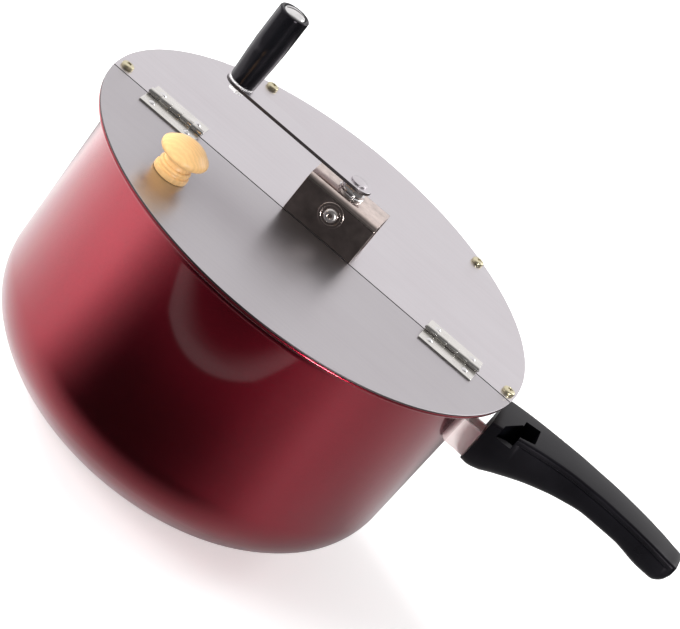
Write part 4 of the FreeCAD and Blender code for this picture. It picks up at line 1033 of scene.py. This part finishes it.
def white_floor():
    """Pale matt floor that keeps the pot's shadow and shows white elsewhere.  Lacquer and bare
    metal alone see painted shade and light on it: dark patches before and behind the pot, a glowing
    ring, and a glowing patch at the left."""
    material, tree, shader = blank("pale floor")
    place = node(tree, "TexCoord")
    parts = node(tree, "SeparateXYZ", {0: place.outputs["Object"]})
    x, y = parts.outputs[0], parts.outputs[1]
    # out is the distance before or behind the pot, way the slant from straight out
    out = sums(tree, "ABSOLUTE", y)
    way = sums(tree, "DIVIDE", x, sums(tree, "ADD", out, 0.001))
    # dark patches on the floor before, behind and at the front left, seen only by lacquer and bare
    # metal: painted shade in their reflections
    sector = sums(tree, "MULTIPLY", ramp(tree, way, -1.50, -0.40, 0.0, 1.0),
                  ramp(tree, way, 0.40, 1.60, 1.0, 0.0))
    painted_patches = sums(tree, "MULTIPLY", sector, ramp(tree, out, 0.07, 0.16, 0.0, 1.0))
    # a glowing ring on the floor, seen only by lacquer and bare metal: a painted reflection of
    # light in the pot
    strip = sums(tree, "MULTIPLY", ramp(tree, out, 0.297, 0.302, 0.0, 1.0),
                 ramp(tree, out, 0.308, 0.332, 1.0, 0.0))
    strip = sums(tree, "MULTIPLY", strip, ramp(tree, way, -1.15, -0.9, 0.0, 1.0))
    side = sums(tree, "MULTIPLY_ADD", x, 0.5, y)
    painted_patches = sums(tree, "MAXIMUM", painted_patches, ramp(tree, side, -0.46, -0.37, 0.9, 0.0))
    reach = node(tree, "VectorMath", {0: place.outputs["Object"]}, operation="LENGTH")
    far = sums(tree, "MULTIPLY", ramp(tree, reach.outputs["Value"], 0.44, 0.49, 0.0, 0.9),
               ramp(tree, way, -1.05, -0.8, 0.0, 1.0))
    painted_patches = sums(tree, "MAXIMUM", painted_patches, far)
    # how much of the floor's own light is left for lacquer and bare metal
    dim = sums(tree, "MULTIPLY_ADD", painted_patches, -0.99, 1.0)
    dim = sums(tree, "MULTIPLY", dim, ramp(tree, x, 0.0, 0.12, 0.88, 0.58))
    dim = sums(tree, "MULTIPLY", dim, ramp(tree, out, 0.08, 0.18, 0.85, 1.0))
    ray = node(tree, "LightPath")
    glossy = ray.outputs["Is Glossy Ray"]
    tone = sums(tree, "MULTIPLY_ADD", glossy, sums(tree, "ADD", dim, -1.0), 1.0)
    tone = sums(tree, "MULTIPLY", tone, 0.86)
    colour = node(tree, "CombineColor", {0: tone, 1: tone, 2: tone})
    put(tree, shader, Base_Color=colour.outputs[0], Roughness=0.7, Specular_IOR_Level=0.1)
    seen = sums(tree, "MAXIMUM", glossy, ray.outputs["Is Transmission Ray"])
    # glow seen only by lacquer and bare metal: a little over the dimmed floor, a painted bright
    # patch at the left, and the painted ring
    painted_patches = sums(tree, "MULTIPLY_ADD", dim, 0.12, ramp(tree, x, -0.36, -0.12, 0.12, 0.0))
    painted_patches = sums(tree, "MULTIPLY_ADD", strip, 0.62, painted_patches)
    level = sums(tree, "MULTIPLY", seen, painted_patches)
    pale = ramp(tree, reach.outputs["Value"], 0.7, 2.5, 0.45, 1.0)
    level = sums(tree, "MULTIPLY_ADD", ray.outputs["Is Camera Ray"], pale, level)
    glow = node(tree, "Emission", {"Color": (1, 1, 1, 1), "Strength": level})
    both = node(tree, "AddShader", {0: shader.outputs[0], 1: glow.outputs[0]})
    end = [n for n in tree.nodes if n.type == "OUTPUT_MATERIAL"][0]
    tree.links.new(both.outputs[0], end.inputs["Surface"])
    return material


class POPPER_OT_stage(bpy.types.Operator):
    """Pale floor, soft lamps and the camera"""
    bl_idname = "popper.stage"
    bl_label = "Stage"

    def execute(self, context):
        scene = context.scene
        sizes = scene.popper_stage
        scene.view_settings.view_transform = "Standard"
        floor_mesh = bpy.data.meshes.new("floor")
        reach = 6.0
        floor_mesh.from_pydata([(-reach, -reach, 0), (reach, -reach, 0), (reach, reach, 0),
                                (-reach, reach, 0)], [], [(0, 1, 2, 3)])
        floor = mesh_object("floor", floor_mesh)
        floor.location.z = -0.0002
        floor.data.materials.append(white_floor())

        studio_world(scene)
        # only the right-hand lamps are seen as spots in metal and lacquer
        lamps = (
            # name, place, width, height, power
            ("back right", (0.85, 0.95, 0.95), 0.5, 0.5, 4.0),
            ("back left", (-1.25, 0.66, 0.62), 0.5, 0.5, 24.0),
            ("left", (-1.10, -0.80, 0.65), 0.9, 0.8, 19.0),
            ("front right", (0.90, -1.10, 0.20), 0.4, 0.3, 13.0),
            ("overhead", (-0.2, 0.0, 1.5), 1.0, 1.0, 6.0),
        )
        for name, place, wide, tall, power in lamps:
            data = bpy.data.lights.new(name, "AREA")
            data.shape = "RECTANGLE"
            data.size, data.size_y = wide, tall
            data.energy = power
            lamp = bpy.data.objects.new(name, data)
            scene.collection.objects.link(lamp)
            lamp.location = place
            lamp.visible_glossy = "right" in name
            aim = Vector((0, 0, 0.1)) - Vector(place)
            lamp.rotation_euler = aim.to_track_quat("-Z", "Y").to_euler()

        az, el, roll = sizes.azimuth, sizes.elevation, sizes.roll
        back = Vector((math.sin(az) * math.cos(el), -math.cos(az) * math.cos(el), math.sin(el)))
        right = Vector((math.cos(az), math.sin(az), 0))
        up = back.cross(right)
        across = right * math.cos(roll) + up * math.sin(roll)
        upright = up * math.cos(roll) - right * math.sin(roll)
        # the view's middle lies a little right of the lid's centre and below it
        aside, below = 0.07888 * 0.127, 0.34218 * 0.127
        spot = (back * sizes.distance + across * aside - upright * below
                + Vector((0, 0, LID_TOP)))
        data = bpy.data.cameras.new("camera")
        sensor, focal_pixels, wide_pixels = 36.0, 2600.0, 680.0
        data.lens = focal_pixels / wide_pixels * sensor
        data.sensor_width = sensor
        data.clip_start, data.clip_end = 0.05, 50.0
        camera = bpy.data.objects.new("camera", data)
        scene.collection.objects.link(camera)
        camera.matrix_world = Matrix((
            (across.x, upright.x, back.x, spot.x), (across.y, upright.y, back.y, spot.y),
            (across.z, upright.z, back.z, spot.z), (0, 0, 0, 1)))
        scene.camera = camera
        return {"FINISHED"}


# ------------------------------------------------------------------ panel and start
PIECES = (
    POPPER_OT_stage, POPPER_OT_pot, POPPER_OT_lid, POPPER_OT_rim_screws, POPPER_OT_hinges,
    POPPER_OT_knob, POPPER_OT_housing, POPPER_OT_gears, POPPER_OT_crank, POPPER_OT_grip,
    POPPER_OT_stirrer, POPPER_OT_handle,
)
SETTINGS = (("popper_pot", PotSettings), ("popper_lid", LidSettings),
            ("popper_crank", CrankSettings), ("popper_handle", HandleSettings),
            ("popper_stage", StageSettings))


class POPPER_PT_panel(bpy.types.Panel):
    """Lists the popper's pieces"""
    bl_label = "Popcorn Popper"
    bl_idname = "POPPER_PT_panel"
    bl_space_type = "VIEW_3D"
    bl_region_type = "UI"
    bl_category = "Popper"

    def draw(self, context):
        for piece in PIECES:
            self.layout.operator(piece.bl_idname)
        for name, group in SETTINGS:
            box = self.layout.box()
            for key in group.__annotations__:
                box.prop(getattr(context.scene, name), key)


def register():
    for name, group in SETTINGS:
        bpy.utils.register_class(group)
        setattr(bpy.types.Scene, name, bpy.props.PointerProperty(type=group))
    for item in PIECES + (POPPER_PT_panel,):
        bpy.utils.register_class(item)


def unregister():
    for item in reversed(PIECES + (POPPER_PT_panel,)):
        bpy.utils.unregister_class(item)
    for name, group in reversed(SETTINGS):
        delattr(bpy.types.Scene, name)
        bpy.utils.unregister_class(group)


def main():
    register()
    for piece in PIECES:
        group, name = piece.bl_idname.split(".")
        getattr(getattr(bpy.ops, group), name)()


if __name__ == "__main__":
    main()
